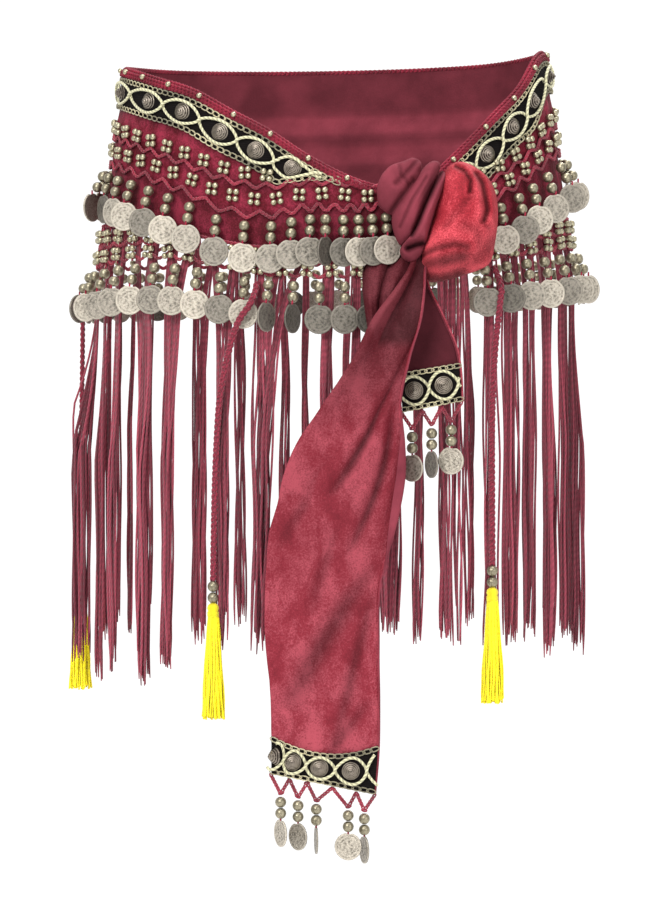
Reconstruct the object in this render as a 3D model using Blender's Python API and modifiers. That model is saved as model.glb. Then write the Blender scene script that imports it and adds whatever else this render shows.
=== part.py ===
"""Belly dance hip scarf: a velvet band worn low round the hips and tied at the front.

Sizes are metres, +Z is up, the front faces -Y and the origin is the middle of the hips at the
height where the scarf is held. A turn is an angle round the hips in degrees: 0 at the front,
-90 at the left of a front view, -180 at the back, and -334 where the band comes back to the
knot. A form's out is its distance from the hips along their normal. Widths and heights in the
tables are millimetres.
"""
import math

import bmesh
import bpy
import numpy as np
from mathutils import Matrix, Vector

MM = 0.001
GAP = 0.0003

# Hips: an elliptical cone that widens downwards, and upright below the net.
HIP_HALF_WIDTH = 0.170
HIP_FLARE = 0.13
HIP_DEPTH_SHARE = 0.69
HIP_UPRIGHT_BELOW = -0.100

# Layers, as distances out from the hips.
VELVET_WALL = 0.002
LAYER_INNER = VELVET_WALL + GAP
TRIM_WALL = 0.0012
CHAIN_INNER = 0.0028
CHAIN_WALL = 0.0015
STRIP_HEIGHT = 0.002

# Heights round the band, in millimetres: its top edge, the upper bead chain, the line that
# the upper coins hang from, the velvet's hem, and the net's lower chain.
BAND_COLUMNS = ("turn", "top", "chain", "line", "hem", "net")
BAND = (
    (-334, -14, -38, -48, -70, -86),
    (-324, 10, -28, -42, -65, -82),
    (-315, 30, -17, -33, -60, -78),
    (-304, 50, -2, -19, -54, -75),
    (-290, 76, 17, -4, -49, -71),
    (-270, 82, 27, 3, -46, -70),
    (-225, 80, 26, 2, -47, -74),
    (-180, 78, 24, 0, -49, -77),
    (-135, 75, 22, -2, -51, -81),
    (-90, 71, 18, -6, -52, -85),
    (-74, 67, 13, -10, -53, -84),
    (-54, 57, 2, -20, -56, -80),
    (-39, 46, -10, -33, -61, -81),
    (-28, 31, -21, -46, -68, -87),
    (-17, 15, -27, -51, -73, -93),
    (-7, -4, -24, -46, -73, -95),
    (5, -22, -26, -46, -72, -95),
    (16, -31, -33, -43, -70, -94),
)
WINGS = (
    # name, first turn, last turn, columns
    ("front_right", -334.0, -275.0, 10),
    ("back", -275.0, -80.0, 34),
    ("front_left", -80.0, 16.0, 17),
)
SEAM_TURN = 0.07
HALF_STEP = 0.5

# Trim with studs along the top edge.
EDGING = 0.006
TRIM_WIDTH = 0.025
TRIM_END_TURN = 0.0
TRIM_CLEAR = 0.001
STUD_RADIUS = 0.007
STUD_HEIGHT = 0.006
STUD_SIDES = 8
STUD_SINK = 0.0006
STUD_TIP_SHARE = 0.16
STUD_SPACING = 0.0285
STUD_FIRST_TURN = -11.5
STUD_LAST_TURN = -323.0

# Bead and coin pendants below a cell of a crocheted strip, as sections down the pendant.
PENDANT = (
    # drop, half width, half depth, out
    (4.4, 4.0, 4.0, 3.6),
    (8.6, 1.6, 1.6, 4.6),
    (12.8, 4.0, 4.0, 5.4),
    (17.0, 4.6, 0.6, 5.5),
    (23.4, 11.0, 0.6, 5.7),
    (32.6, 11.0, 0.6, 5.8),
    (39.0, 4.6, 0.6, 5.8),
)
COIN_DEPTH_BELOW = 0.8
PENDANT_SPACING = 0.0183
COIN_TILT = math.radians(8.5)
UPPER_TURNS = (-319.0, 9.5)
LOWER_TURNS = (-327.0, 10.5)

# Net between the hem and the lower coins.
NET_LAP = 0.005
NET_TOP_BAND = 0.003
NET_LOW_BAND = 0.005
NET_POST_SHARE = 0.16
NET_WING_COLUMNS = (8, 30, 14)

# Fringe behind the net.
STRAND_SPACING = 0.0092
FRINGE_OUT = 0.0009
FRINGE_STRIP_WALL = 0.0016
FRINGE_STRIP_HEIGHT = 0.003
STRAND_HALF = 0.0009
STRAND_NECK = 0.009
BUNCH_NEAR_END = 0.85
BUNCH_MIDDLE = 0.42
FRINGE_END_COLUMNS = ("turn", "end")
FRINGE_END = (
    (-334, -362),
    (-290, -366),
    (-180, -372),
    (-80, -384),
    (-40, -380),
    (-12, -362),
    (16, -350),
)
# Bunches of strands: root turns, then the turn and width in degrees at their ends.
BUNCHES = (
    (-298.0, -276.0, -286.0, 10.0),
    (-250.0, -236.0, -244.0, 6.0),
    (-200.0, -184.0, -193.0, 7.0),
    (-150.0, -136.0, -144.0, 6.0),
    (-112.0, -98.0, -106.0, 6.5),
    (-86.0, -70.0, -81.0, 8.0),
    (-67.0, -55.0, -63.5, 5.5),
    (-52.0, -43.0, -50.0, 4.5),
    (-42.0, -33.0, -42.0, 4.5),
    (-22.0, -7.0, -20.0, 7.5),
)

# Knot: soft lumps, given by middle, half sizes and tilt in the front view.
KNOT_BACK_OUT = 0.0047
LOBE_RIGHT = ((0.0850, -0.1370, -0.0540), (0.0330, 0.0250, 0.0490), -16.0)
LOBE_LEFT = ((0.0560, -0.1300, -0.0270), (0.0260, 0.0150, 0.0215), 18.0)
WRAP = ((0.0550, -0.1350, -0.0560), (0.0150, 0.0180, 0.0300), 34.0)
CORE_SIDES = 96
CORE_HEIGHTS = (0.11, HIP_UPRIGHT_BELOW, -0.14)
LUMP_SIDES = 16
LUMP_RINGS = 10

# Velvet gathered under the knot.
GATHER_COLUMNS = ("height", "left", "right", "front")
GATHER = (
    (-72.0, 24.0, 54.0, -142.0),
    (-90.0, 22.0, 50.0, -143.0),
    (-110.0, 21.0, 46.0, -143.0),
    (-132.0, 24.0, 45.0, -142.0),
)
GATHER_FOLDS = 3
GATHER_DEPTH = 0.0022

# Long tail: its edges down its length. Lean is how far the right edge hangs below the left.
TAIL_COLUMNS = ("height", "left", "right", "front", "lean")
LONG_TAIL = (
    (-86.0, 58.0, 80.0, -150.0, 0.0),
    (-104.0, 43.0, 76.0, -153.0, 0.0),
    (-124.0, 25.0, 65.0, -154.0, 0.0),
    (-154.0, 13.0, 53.0, -154.0, 0.0),
    (-193.0, -13.0, 46.0, -152.0, 0.0),
    (-215.0, -28.0, 48.0, -151.0, 0.0),
    (-240.0, -38.5, 48.5, -150.0, 0.0),
    (-262.0, -43.0, 45.0, -149.0, 2.0),
    (-284.0, -49.0, 39.5, -148.0, 4.0),
    (-306.0, -51.0, 33.5, -147.0, 5.0),
    (-365.0, -52.0, 30.5, -145.0, 8.0),
    (-402.0, -48.5, 31.0, -144.0, 11.0),
    (-437.0, -47.5, 30.5, -143.0, 13.0),
    (-467.0, -47.5, 28.0, -142.0, 15.0),
)
# Folds of the long tail: where each starts and ends, its width across and its depth.
TAIL_FOLDS = (
    # from height, from share across, to height, to share across, width share, depth
    (-120.0, 0.95, -245.0, 0.45, 0.13, 5.0),
    (-175.0, 1.00, -262.0, 0.78, 0.10, 3.5),
    (-300.0, 0.70, -425.0, 0.20, 0.16, 3.0),
)
SHORT_TAIL = (
    (-98.0, 62.0, 88.0, -131.0, 0.0),
    (-122.0, 54.0, 91.0, -132.0, 0.0),
    (-150.0, 49.0, 93.0, -132.0, 0.0),
    (-190.0, 48.0, 92.0, -131.0, -3.0),
)
TAIL_COLUMNS_ACROSS = 8
LONG_TAIL_ROWS = 17
SHORT_TAIL_ROWS = 5
TAIL_TRIM_WIDTH = 0.0285
LONG_STUDS = (0.20, 0.49, 0.79)
SHORT_STUDS = (0.22, 0.72)
LONG_COIN_TILTS = (62.0, 35.0, 80.0, 6.0, 70.0)
SHORT_COIN_TILTS = (40.0, 65.0, 25.0)
TAIL_STEM = 0.013
TAIL_COIN_SHARE = 0.92

# Crocheted cords with a tassel: route points as turn, height and out in millimetres.
CORD_RADIUS = 0.00275
CORD_LEFT = (
    (-18.2, -98.2, 5.5),
    (-18.2, -101.5, 6.6),
    (-18.3, -106.0, 9.6),
    (-18.6, -110.5, 13.6),
    (-19.3, -116.0, 15.4),
    (-21.9, -128.0, 15.6),
    (-24.5, -152.0, 13.0),
    (-26.7, -183.0, 11.0),
    (-27.6, -215.0, 10.0),
    (-28.2, -248.0, 9.0),
    (-28.5, -280.0, 8.5),
    (-28.8, -319.0, 8.0),
)
CORD_FAR_LEFT = (
    (-96.8, -90.0, 5.5),
    (-96.8, -93.3, 6.6),
    (-96.8, -97.8, 9.6),
    (-96.8, -102.3, 13.0),
    (-96.7, -107.8, 14.9),
    (-96.5, -120.0, 15.2),
    (-96.3, -150.0, 12.5),
    (-96.0, -200.0, 10.0),
    (-96.0, -250.0, 9.0),
    (-96.0, -300.0, 8.5),
)
CORD_RIGHT = (
    (-320.5, -85.8, 5.5),
    (-320.5, -89.1, 6.6),
    (-320.5, -93.6, 9.6),
    (-320.6, -98.1, 13.0),
    (-320.8, -103.6, 14.9),
    (-321.4, -116.0, 15.2),
    (-322.2, -150.0, 12.5),
    (-322.6, -200.0, 10.5),
    (-322.4, -250.0, 9.5),
    (-322.2, -308.0, 9.0),
)
CORDS = (("left", CORD_LEFT), ("far_left", CORD_FAR_LEFT), ("right", CORD_RIGHT))
CORD_POINTS = 17
TASSEL_BEAD = 0.0042
TASSEL_LENGTH = 0.086
TASSEL_HEAD = 0.012
TASSEL_HALF = 0.0045
TASSEL_SPREAD = 0.0085
TASSEL_STRANDS = 9
TASSEL_STRAND = 0.00095

WINE = (0.22, 0.022, 0.045)
WINE_DULL = (0.16, 0.025, 0.045)
YARN_RED = (0.13, 0.012, 0.028)
CORD_RED = (0.34, 0.015, 0.035)
TRIM_GOLD = (0.24, 0.19, 0.09)
BRONZE = (0.26, 0.21, 0.13)
SILVER = (0.52, 0.49, 0.42)
YELLOW = (0.90, 0.72, 0.01)


def smooth_read(table, column, names, places):
    """A table's column at any places: cubics whose slopes are those of the rows around."""
    across = np.array([row[0] for row in table], dtype=float)
    values = np.array([row[names.index(column)] for row in table], dtype=float)
    places = np.asarray(places, dtype=float)
    slopes = np.gradient(values, across)
    order = np.argsort(across)
    across, values, slopes = across[order], values[order], slopes[order]
    first = np.clip(np.searchsorted(across, places) - 1, 0, len(across) - 2)
    width = across[first + 1] - across[first]
    share = np.clip((places - across[first]) / width, 0.0, 1.0)
    rise = values[first + 1] - values[first]
    start = slopes[first] * width
    finish = slopes[first + 1] * width
    bend = share * share * (3.0 - 2.0 * share)
    ease = share * (1.0 - share)
    return values[first] + rise * bend + ease * (start * (1.0 - share) - finish * share)


def band(column, turns):
    """Height of one of the band's lines, in metres."""
    return smooth_read(BAND, column, BAND_COLUMNS, turns) * MM


def hip(turns, heights, out=0.0):
    """Points at these turns and heights, moved out level with the hips' normal there."""
    angle = np.radians(np.asarray(turns, dtype=float))
    heights = np.asarray(heights, dtype=float) + 0.0 * angle
    half_width = HIP_HALF_WIDTH - HIP_FLARE * np.maximum(heights, HIP_UPRIGHT_BELOW)
    half_depth = HIP_DEPTH_SHARE * half_width
    across, away = np.sin(angle) / half_width, -np.cos(angle) / half_depth
    size = np.hypot(across, away)
    x = half_width * np.sin(angle) + out * across / size
    y = -half_depth * np.cos(angle) + out * away / size
    return np.stack([x, y, heights], axis=-1)


def evenly(first, last, column, spacing):
    """Turns from first to last that are one spacing apart along the band."""
    fine = np.linspace(first, last, 4000)
    points = hip(fine, band(column, fine))[:, :2]
    run = np.concatenate([[0.0], np.cumsum(np.linalg.norm(np.diff(points, axis=0), axis=1))])
    count = int(round(run[-1] / spacing)) + 1
    return np.interp(np.linspace(0.0, run[-1], count), run, fine)


def trim_edges(turns):
    """Upper and lower heights of the trim: its width is square to the sloping top edge."""
    ahead, behind = turns + HALF_STEP, turns - HALF_STEP
    rise = band("top", ahead) - band("top", behind)
    points = hip(ahead, band("top", ahead)) - hip(behind, band("top", behind))
    run = np.hypot(points[:, 0], points[:, 1])
    upper = band("top", turns) - EDGING
    lower = upper - TRIM_WIDTH * np.hypot(1.0, rise / run)
    return upper, np.maximum(lower, band("chain", turns) + TRIM_CLEAR)


def material(name, colour, roughness, metallic=0.0):
    """A Principled BSDF of one colour."""
    finish = bpy.data.materials.new(name)
    finish.use_nodes = True
    shader = finish.node_tree.nodes["Principled BSDF"]
    shader.inputs["Base Color"].default_value = (*colour, 1.0)
    shader.inputs["Roughness"].default_value = roughness
    shader.inputs["Metallic"].default_value = metallic
    return finish


def collection(name):
    """A new collection in the scene."""
    made = bpy.data.collections.new(name)
    bpy.context.scene.collection.children.link(made)
    return made


def grid_faces(rows, columns, skip=None):
    """Quads of a grid of points, without the cells that skip names."""
    row, column = np.meshgrid(np.arange(rows - 1), np.arange(columns - 1), indexing="ij")
    corner = (row * columns + column).ravel()
    faces = np.stack([corner, corner + columns, corner + columns + 1, corner + 1], axis=1)
    if skip is not None:
        faces = faces[~skip.ravel()]
    return faces


def mesh_object(name, pieces, finish, place):
    """One object from pieces of points and faces, its faces turned outwards."""
    points, faces, base = [], [], 0
    for piece_points, piece_faces in pieces:
        points.extend(map(tuple, piece_points))
        faces.extend(tuple(int(i) + base for i in face) for face in piece_faces)
        base += len(piece_points)
    mesh = bpy.data.meshes.new(name)
    mesh.from_pydata(points, [], faces)
    shape = bmesh.new()
    shape.from_mesh(mesh)
    bmesh.ops.recalc_face_normals(shape, faces=shape.faces)
    shape.to_mesh(mesh)
    shape.free()
    mesh.materials.append(finish)
    made = bpy.data.objects.new(name, mesh)
    place.objects.link(made)
    return made


def sheet(name, points, finish, place, thickness, skip=None):
    """A cloth wall: an open grid of points, given its thickness outwards."""
    rows, columns = points.shape[:2]
    flat = points.reshape(-1, 3)
    made = mesh_object(name, [(flat, grid_faces(rows, columns, skip))], finish, place)
    shape = bmesh.new()
    shape.from_mesh(made.data)
    loose = [vertex for vertex in shape.verts if not vertex.link_faces]
    bmesh.ops.delete(shape, geom=loose, context="VERTS")
    facing = sum(face.normal.xy.dot(face.calc_center_median().xy) for face in shape.faces)
    if facing < 0.0:
        bmesh.ops.reverse_faces(shape, faces=shape.faces)
    shape.to_mesh(made.data)
    shape.free()
    wall = made.modifiers.new("Wall", "SOLIDIFY")
    wall.thickness = thickness
    wall.offset = 1.0
    wall.use_even_offset = True
    return made


def loft(rings):
    """A closed solid through rings of points, capped at both ends."""
    rings = np.asarray(rings, dtype=float)
    levels, sides = rings.shape[:2]
    level, side = np.meshgrid(np.arange(levels - 1), np.arange(sides), indexing="ij")
    upper = (level * sides + side).ravel()
    upper_next = (level * sides + (side + 1) % sides).ravel()
    walls = np.stack([upper, upper + sides, upper_next + sides, upper_next], axis=1)
    caps = [tuple(range(sides)), tuple(range((levels - 1) * sides, levels * sides))[::-1]]
    return rings.reshape(-1, 3), [tuple(face) for face in walls] + caps


def combine(target, tool, operation):
    """A Boolean of two objects; the tool is kept as a guide that is not part of the object."""
    change = target.modifiers.new(operation.title(), "BOOLEAN")
    change.operation = operation
    change.solver = "EXACT"
    change.object = tool
    tool.hide_render = True
    tool.display_type = "WIRE"


def comb(name, edges, teeth, finish, place):
    """A strip and the teeth below its cells, as one solid; a tooth is a list of sections."""
    count = len(edges[0])
    points = [tuple(point) for line in edges for point in line]
    top_inner, top_outer, low_inner, low_outer = (
        list(range(line * count, (line + 1) * count)) for line in range(4)
    )
    faces = []
    for cell, sections in enumerate(teeth):
        left, right = cell, cell + 1
        faces.append((top_inner[left], top_inner[right], top_outer[right], top_outer[left]))
        faces.append((top_inner[left], top_inner[right], low_inner[right], low_inner[left]))
        faces.append((top_outer[left], top_outer[right], low_outer[right], low_outer[left]))
        ring = [low_outer[left], low_outer[right], low_inner[right], low_inner[left]]
        for section in sections:
            lower = list(range(len(points), len(points) + 4))
            points.extend(tuple(point) for point in section)
            for side in range(4):
                after = (side + 1) % 4
                faces.append((ring[side], ring[after], lower[after], lower[side]))
            ring = lower
        faces.append(tuple(ring))
    for end in (0, count - 1):
        faces.append((top_inner[end], top_outer[end], low_outer[end], low_inner[end]))
    return mesh_object(name, [(points, faces)], finish, place)


def square(middle, along, outward, half_width, half_depth):
    """The four corners of a section, from the outer left one round."""
    corners = ((-1.0, 1.0), (1.0, 1.0), (1.0, -1.0), (-1.0, -1.0))
    return [
        middle + along * half_width * across + outward * half_depth * deep
        for across, deep in corners
    ]


def velvet_band(finish, place):
    """The velvet round the hips, from its top edge to its hem."""
    for name, first, last, columns in WINGS:
        turns = np.linspace(first + SEAM_TURN, last - SEAM_TURN, columns + 1)
        shares = np.linspace(0.0, 1.0, 3)[:, None]
        top, hem = band("top", turns), band("hem", turns)
        points = hip(turns, top + (hem - top) * shares)
        sheet("velvet_" + name, points, finish, place, VELVET_WALL)


def stud(middle, outward, upward):
    """A cone that stands on the trim, its base sunk into the trim."""
    around = np.arange(STUD_SIDES) * 2.0 * math.pi / STUD_SIDES
    side = np.cross(outward, upward)
    ring = np.cos(around)[:, None] * side + np.sin(around)[:, None] * upward
    levels = ((-STUD_SINK, 1.0), (STUD_HEIGHT, STUD_TIP_SHARE))
    return loft([middle + outward * rise + ring * (STUD_RADIUS * share) for rise, share in levels])


def hip_frame(turn, height, out):
    """A point by the hips with the directions along the band and outwards there."""
    middle = hip(turn, height, out)
    along = hip(turn + HALF_STEP, height, out) - hip(turn - HALF_STEP, height, out)
    along = along / np.linalg.norm(along)
    outward = np.array([along[1], -along[0], 0.0])
    return middle, along, outward


def band_trim(finish, place, guides):
    """The trim under the top edge, with its row of cone studs."""
    studs = evenly(STUD_LAST_TURN, STUD_FIRST_TURN, "top", STUD_SPACING)
    for name, first, last, columns in WINGS:
        turns = np.linspace(first + SEAM_TURN, last - SEAM_TURN, columns + 1)
        turns = turns[turns < TRIM_END_TURN]
        upper, lower = trim_edges(turns)
        points = hip(turns, np.stack([upper, lower]), LAYER_INNER)
        strip = sheet("trim_" + name, points, finish, place, TRIM_WALL)
        cones = []
        for turn in studs:
            height = float(np.mean(trim_edges(np.array([turn]))))
            middle, _, outward = hip_frame(turn, height, LAYER_INNER + TRIM_WALL)
            margin = math.degrees(STUD_RADIUS * 1.15 / HIP_HALF_WIDTH / HIP_DEPTH_SHARE)
            if first + margin < turn < last - margin:
                cones.append(stud(middle, outward, np.array([0.0, 0.0, 1.0])))
        combine(strip, mesh_object("studs_" + name, cones, finish, guides), "UNION")


def pendant(middle, along, outward, tilt=COIN_TILT, coin=1.0, stem=0.0, out_share=1.0):
    """Sections of two beads and a coin that hang below the middle of a strip's cell."""
    sections = []
    if stem > 0.0:
        sections.append(square(middle - np.array([0.0, 0.0, stem]), along, outward, 0.0012, 0.0008))
    for drop, half_width, half_depth, out in PENDANT:
        is_coin = half_depth < COIN_DEPTH_BELOW
        spin = tilt if is_coin else 0.0
        side = along * math.cos(spin) + outward * math.sin(spin)
        face = outward * math.cos(spin) - along * math.sin(spin)
        low = drop * MM + stem
        half = half_width * (coin if is_coin else 1.0) * MM
        flare = hip(0.0, middle[2] - low)[1] - hip(0.0, middle[2])[1]
        away = out * MM * out_share - (flare if out_share > 0.0 else 0.0)
        centre = middle + outward * away - np.array([0.0, 0.0, low])
        sections.append(square(centre, side, face, half, half_depth * MM))
    return sections


def wing_cells(first, last, limits, column, spacing):
    """Turns of the cells' edges in one wing, one spacing apart, inside the row's limits."""
    low, high = max(first + SEAM_TURN, limits[0]), min(last - SEAM_TURN, limits[1])
    return evenly(low, high, column, spacing)


def coin_row(row, column, limits, top_gap, finish, place):
    """A row of pendants below a narrow crocheted strip, one node for each wing."""
    for name, first, last, _ in WINGS:
        turns = wing_cells(first, last, limits, column, PENDANT_SPACING)
        line = band(column, turns) - top_gap
        edges = [
            hip(turns, line - low, CHAIN_INNER + out)
            for low in (0.0, STRIP_HEIGHT)
            for out in (0.0, CHAIN_WALL)
        ]
        teeth = []
        for turn in (turns[:-1] + turns[1:]) / 2.0:
            height = float(band(column, turn)) - top_gap - STRIP_HEIGHT
            teeth.append(pendant(*hip_frame(turn, height, CHAIN_INNER + CHAIN_WALL / 2.0)))
        comb(f"{row}_coins_{name}", edges, teeth, finish, place)


def net(finish, place):
    """The openwork below the hem: two bands joined by posts, the gaps cut through."""
    for (name, first, last, _), columns in zip(WINGS, NET_WING_COLUMNS):
        turns = np.linspace(first + SEAM_TURN, last - SEAM_TURN, columns + 1)
        step = (turns[1] - turns[0]) * NET_POST_SHARE
        edges = np.concatenate([turns[:-1] + step, turns[1:] - step, turns[:1], turns[-1:]])
        edges = np.sort(edges)
        hem, low = band("hem", edges), band("net", edges)
        rows = np.stack([hem + NET_LAP, hem - NET_TOP_BAND, low + NET_LOW_BAND, low])
        points = hip(edges, rows, CHAIN_INNER)
        skip = np.zeros((3, len(edges) - 1), dtype=bool)
        skip[1, 1::2] = True
        sheet("net_" + name, points, finish, place, CHAIN_WALL, skip)


def strand(turn, index):
    """Sections of a strand; one of a bunch swings over to it and hangs on beside the others."""
    hem = float(band("hem", turn)) - GAP - FRINGE_STRIP_HEIGHT
    uneven = 5.0 * math.sin(index * 2.4) + 3.0 * math.sin(index * 5.1)
    end = (float(smooth_read(FRINGE_END, "end", FRINGE_END_COLUMNS, turn)) + uneven) * MM
    end_turn = turn
    for first, last, middle, width in BUNCHES:
        if first <= turn <= last:
            end_turn = middle + ((turn - first) / (last - first) - 0.5) * width
    places = [(hem - STRAND_NECK, turn)]
    if end_turn != turn:
        near_turn = turn + (end_turn - turn) * BUNCH_NEAR_END
        places.append((hem + (end - hem) * BUNCH_MIDDLE, near_turn))
    places.append((end, end_turn))
    sections = []
    for height, place_turn in places:
        middle, along, outward = hip_frame(place_turn, hem, FRINGE_OUT)
        middle[2] = height
        sections.append(square(middle, along, outward, STRAND_HALF, STRAND_HALF))
    return sections


def fringe(finish, place):
    """Strands of yarn below the hem, their roots fused into a narrow strip."""
    limits = (WINGS[0][1] + SEAM_TURN, WINGS[-1][2] - SEAM_TURN)
    inner = FRINGE_OUT - FRINGE_STRIP_WALL / 2.0
    for name, first, last, _ in WINGS:
        turns = wing_cells(first, last, limits, "hem", STRAND_SPACING)
        hem = band("hem", turns) - GAP
        edges = [
            hip(turns, hem - low, inner + out)
            for low in (0.0, FRINGE_STRIP_HEIGHT)
            for out in (0.0, FRINGE_STRIP_WALL)
        ]
        middles = (turns[:-1] + turns[1:]) / 2.0
        teeth = [strand(turn, index) for index, turn in enumerate(middles)]
        comb("fringe_" + name, edges, teeth, finish, place)


def lump(name, form, finish, place, grow=0.0):
    """A soft ball stretched to the half sizes and tilted in the front view."""
    middle, half, tilt = form
    shape = bmesh.new()
    bmesh.ops.create_uvsphere(shape, u_segments=LUMP_SIDES, v_segments=LUMP_RINGS, radius=1.0)
    size = Matrix.Diagonal(Vector([h + grow for h in half]).to_4d())
    turned = Matrix.Rotation(math.radians(tilt), 4, "Y")
    bmesh.ops.transform(shape, matrix=Matrix.Translation(middle) @ turned @ size, verts=shape.verts)
    mesh = bpy.data.meshes.new(name)
    shape.to_mesh(mesh)
    shape.free()
    mesh.materials.append(finish)
    mesh.shade_smooth()
    made = bpy.data.objects.new(name, mesh)
    place.objects.link(made)
    return made


def knot(finish, dull, place, guides):
    """The knot's two lobes and the turn of cloth between them, resting against the band."""
    turns = np.linspace(0.0, 360.0, CORE_SIDES + 1)[:-1]
    core_points = loft([hip(turns, height, KNOT_BACK_OUT) for height in CORE_HEIGHTS])
    core = mesh_object("hips_guide", [core_points], finish, guides)
    right = lump("knot_right_lobe", LOBE_RIGHT, finish, place)
    wrap = lump("knot_wrap", WRAP, dull, place)
    left = lump("knot_left_lobe", LOBE_LEFT, dull, place)
    right_guide = lump("right_lobe_guide", LOBE_RIGHT, finish, guides, GAP)
    wrap_guide = lump("wrap_guide", WRAP, dull, guides, GAP)
    for piece in (right, wrap, left):
        combine(piece, core, "DIFFERENCE")
    combine(wrap, right_guide, "DIFFERENCE")
    combine(left, right_guide, "DIFFERENCE")
    combine(left, wrap_guide, "DIFFERENCE")
    return core, right_guide, wrap_guide


def gather(finish, place, tools):
    """The gathered velvet that hangs under the knot, in a few upright folds."""
    heights = np.linspace(GATHER[0][0], GATHER[-1][0], 5)
    across = np.linspace(0.0, 1.0, 4 * GATHER_FOLDS + 1)
    left, right, front = (
        smooth_read(GATHER, column, GATHER_COLUMNS, heights)[:, None] * MM
        for column in GATHER_COLUMNS[1:]
    )
    x = left + (right - left) * across
    y = front + GATHER_DEPTH * np.cos(across * GATHER_FOLDS * 2.0 * math.pi)
    z = heights[:, None] * MM + 0.0 * across
    folds = sheet("knot_gather", np.stack([x, y, z], axis=-1), finish, place, VELVET_WALL)
    for tool in tools:
        combine(folds, tool, "DIFFERENCE")


def fold_depth(heights, across):
    """How far the tail's folds sink: soft troughs along slanting lines that fade at both ends."""
    depth = 0.0 * heights * across
    for start, start_across, end, end_across, width, deep in TAIL_FOLDS:
        run = (heights - start) / (end - start)
        middle = start_across + (end_across - start_across) * run
        fade = np.clip(np.sin(np.clip(run, 0.0, 1.0) * math.pi), 0.0, 1.0) ** 0.5
        depth = depth + deep * fade * np.exp(-(((across - middle) / width) ** 2))
    return depth


def tail_points(table, heights, across, out, folded):
    """Points of a hanging tail; out moves them forwards."""
    left, right, front, lean = (
        smooth_read(table, column, TAIL_COLUMNS, heights) for column in TAIL_COLUMNS[1:]
    )
    x = left + (right - left) * across
    sunk = fold_depth(heights, across) if folded else 0.0 * x
    y = front + sunk - out / MM
    z = heights - lean * (across - 0.5)
    return np.stack([x, y, z], axis=-1) * MM


def tail(name, table, rows, studs, tilts, folded, finishes, place, guides, tools):
    """A tail of the scarf with its end trim, studs and pendants."""
    velvet, trim, metal = finishes
    last = table[-1][0]
    across = np.linspace(0.0, 1.0, TAIL_COLUMNS_ACROSS + 1)[None, :]
    heights = np.linspace(table[0][0], last, rows + 1)[:, None]
    back = tail_points(table, heights, across, 0.0, folded)
    wall = sheet(name, back, velvet, place, VELVET_WALL)
    for tool in tools:
        combine(wall, tool, "DIFFERENCE")
    trim_out = VELVET_WALL + GAP
    trim_rows = np.array([last + TAIL_TRIM_WIDTH / MM, last])[:, None]
    strip = sheet(
        name + "_trim", tail_points(table, trim_rows, across, trim_out, False), trim, place, TRIM_WALL
    )
    cones = []
    outward, upward = np.array([0.0, -1.0, 0.0]), np.array([0.0, 0.0, 1.0])
    for share in studs:
        middle = tail_points(
            table,
            np.array(last + TAIL_TRIM_WIDTH / MM / 2.0),
            np.array(min(max(share, 0.09), 0.91)),
            trim_out + TRIM_WALL,
            False,
        )
        cones.append(stud(middle, outward, upward))
    combine(strip, mesh_object(name + "_studs", cones, trim, guides), "UNION")
    cells = np.linspace(0.0, 1.0, len(tilts) + 1)
    edges = []
    for drop in (GAP, GAP + STRIP_HEIGHT):
        for out in (0.0, VELVET_WALL):
            line = tail_points(table, np.full(len(cells), last), cells, out, False)
            edges.append(line - np.array([0.0, 0.0, drop]))
    teeth = []
    for share, tilt in zip((cells[:-1] + cells[1:]) / 2.0, tilts):
        middle = tail_points(table, np.array(last), np.array(share), VELVET_WALL / 2.0, False)
        middle[2] -= GAP + STRIP_HEIGHT
        teeth.append(
            pendant(
                middle, np.array([1.0, 0.0, 0.0]), np.array([0.0, -1.0, 0.0]),
                math.radians(tilt), TAIL_COIN_SHARE, TAIL_STEM, 0.0,
            )
        )
    comb(name + "_coins", edges, teeth, metal, place)


def cord_path(route, count):
    """Points one even step apart on a smooth curve through the route."""
    turns, heights, outs = np.asarray(route, dtype=float).T
    knots = hip(turns, heights * MM, outs * MM)
    place = np.arange(len(knots), dtype=float)
    fine = np.linspace(0.0, place[-1], 40 * len(knots))
    rows = [[(p, v) for p, v in zip(place, knots[:, axis])] for axis in range(3)]
    curve = np.stack([smooth_read(row, "value", ("place", "value"), fine) for row in rows], axis=1)
    run = np.concatenate([[0.0], np.cumsum(np.linalg.norm(np.diff(curve, axis=0), axis=1))])
    even = np.linspace(0.0, run[-1], count)
    return np.stack([np.interp(even, run, curve[:, axis]) for axis in range(3)], axis=1)


def cord(name, route, finish, place):
    """A round cord along its route."""
    path = cord_path(route, CORD_POINTS)
    line = bpy.data.curves.new("cord_" + name, "CURVE")
    line.dimensions = "3D"
    line.bevel_depth = CORD_RADIUS
    line.bevel_resolution = 2
    line.use_fill_caps = True
    spline = line.splines.new("POLY")
    spline.points.add(len(path) - 1)
    spline.points.foreach_set("co", np.hstack([path, np.ones((len(path), 1))]).ravel())
    line.materials.append(finish)
    made = bpy.data.objects.new("cord_" + name, line)
    place.objects.link(made)
    return path[-1]


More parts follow.
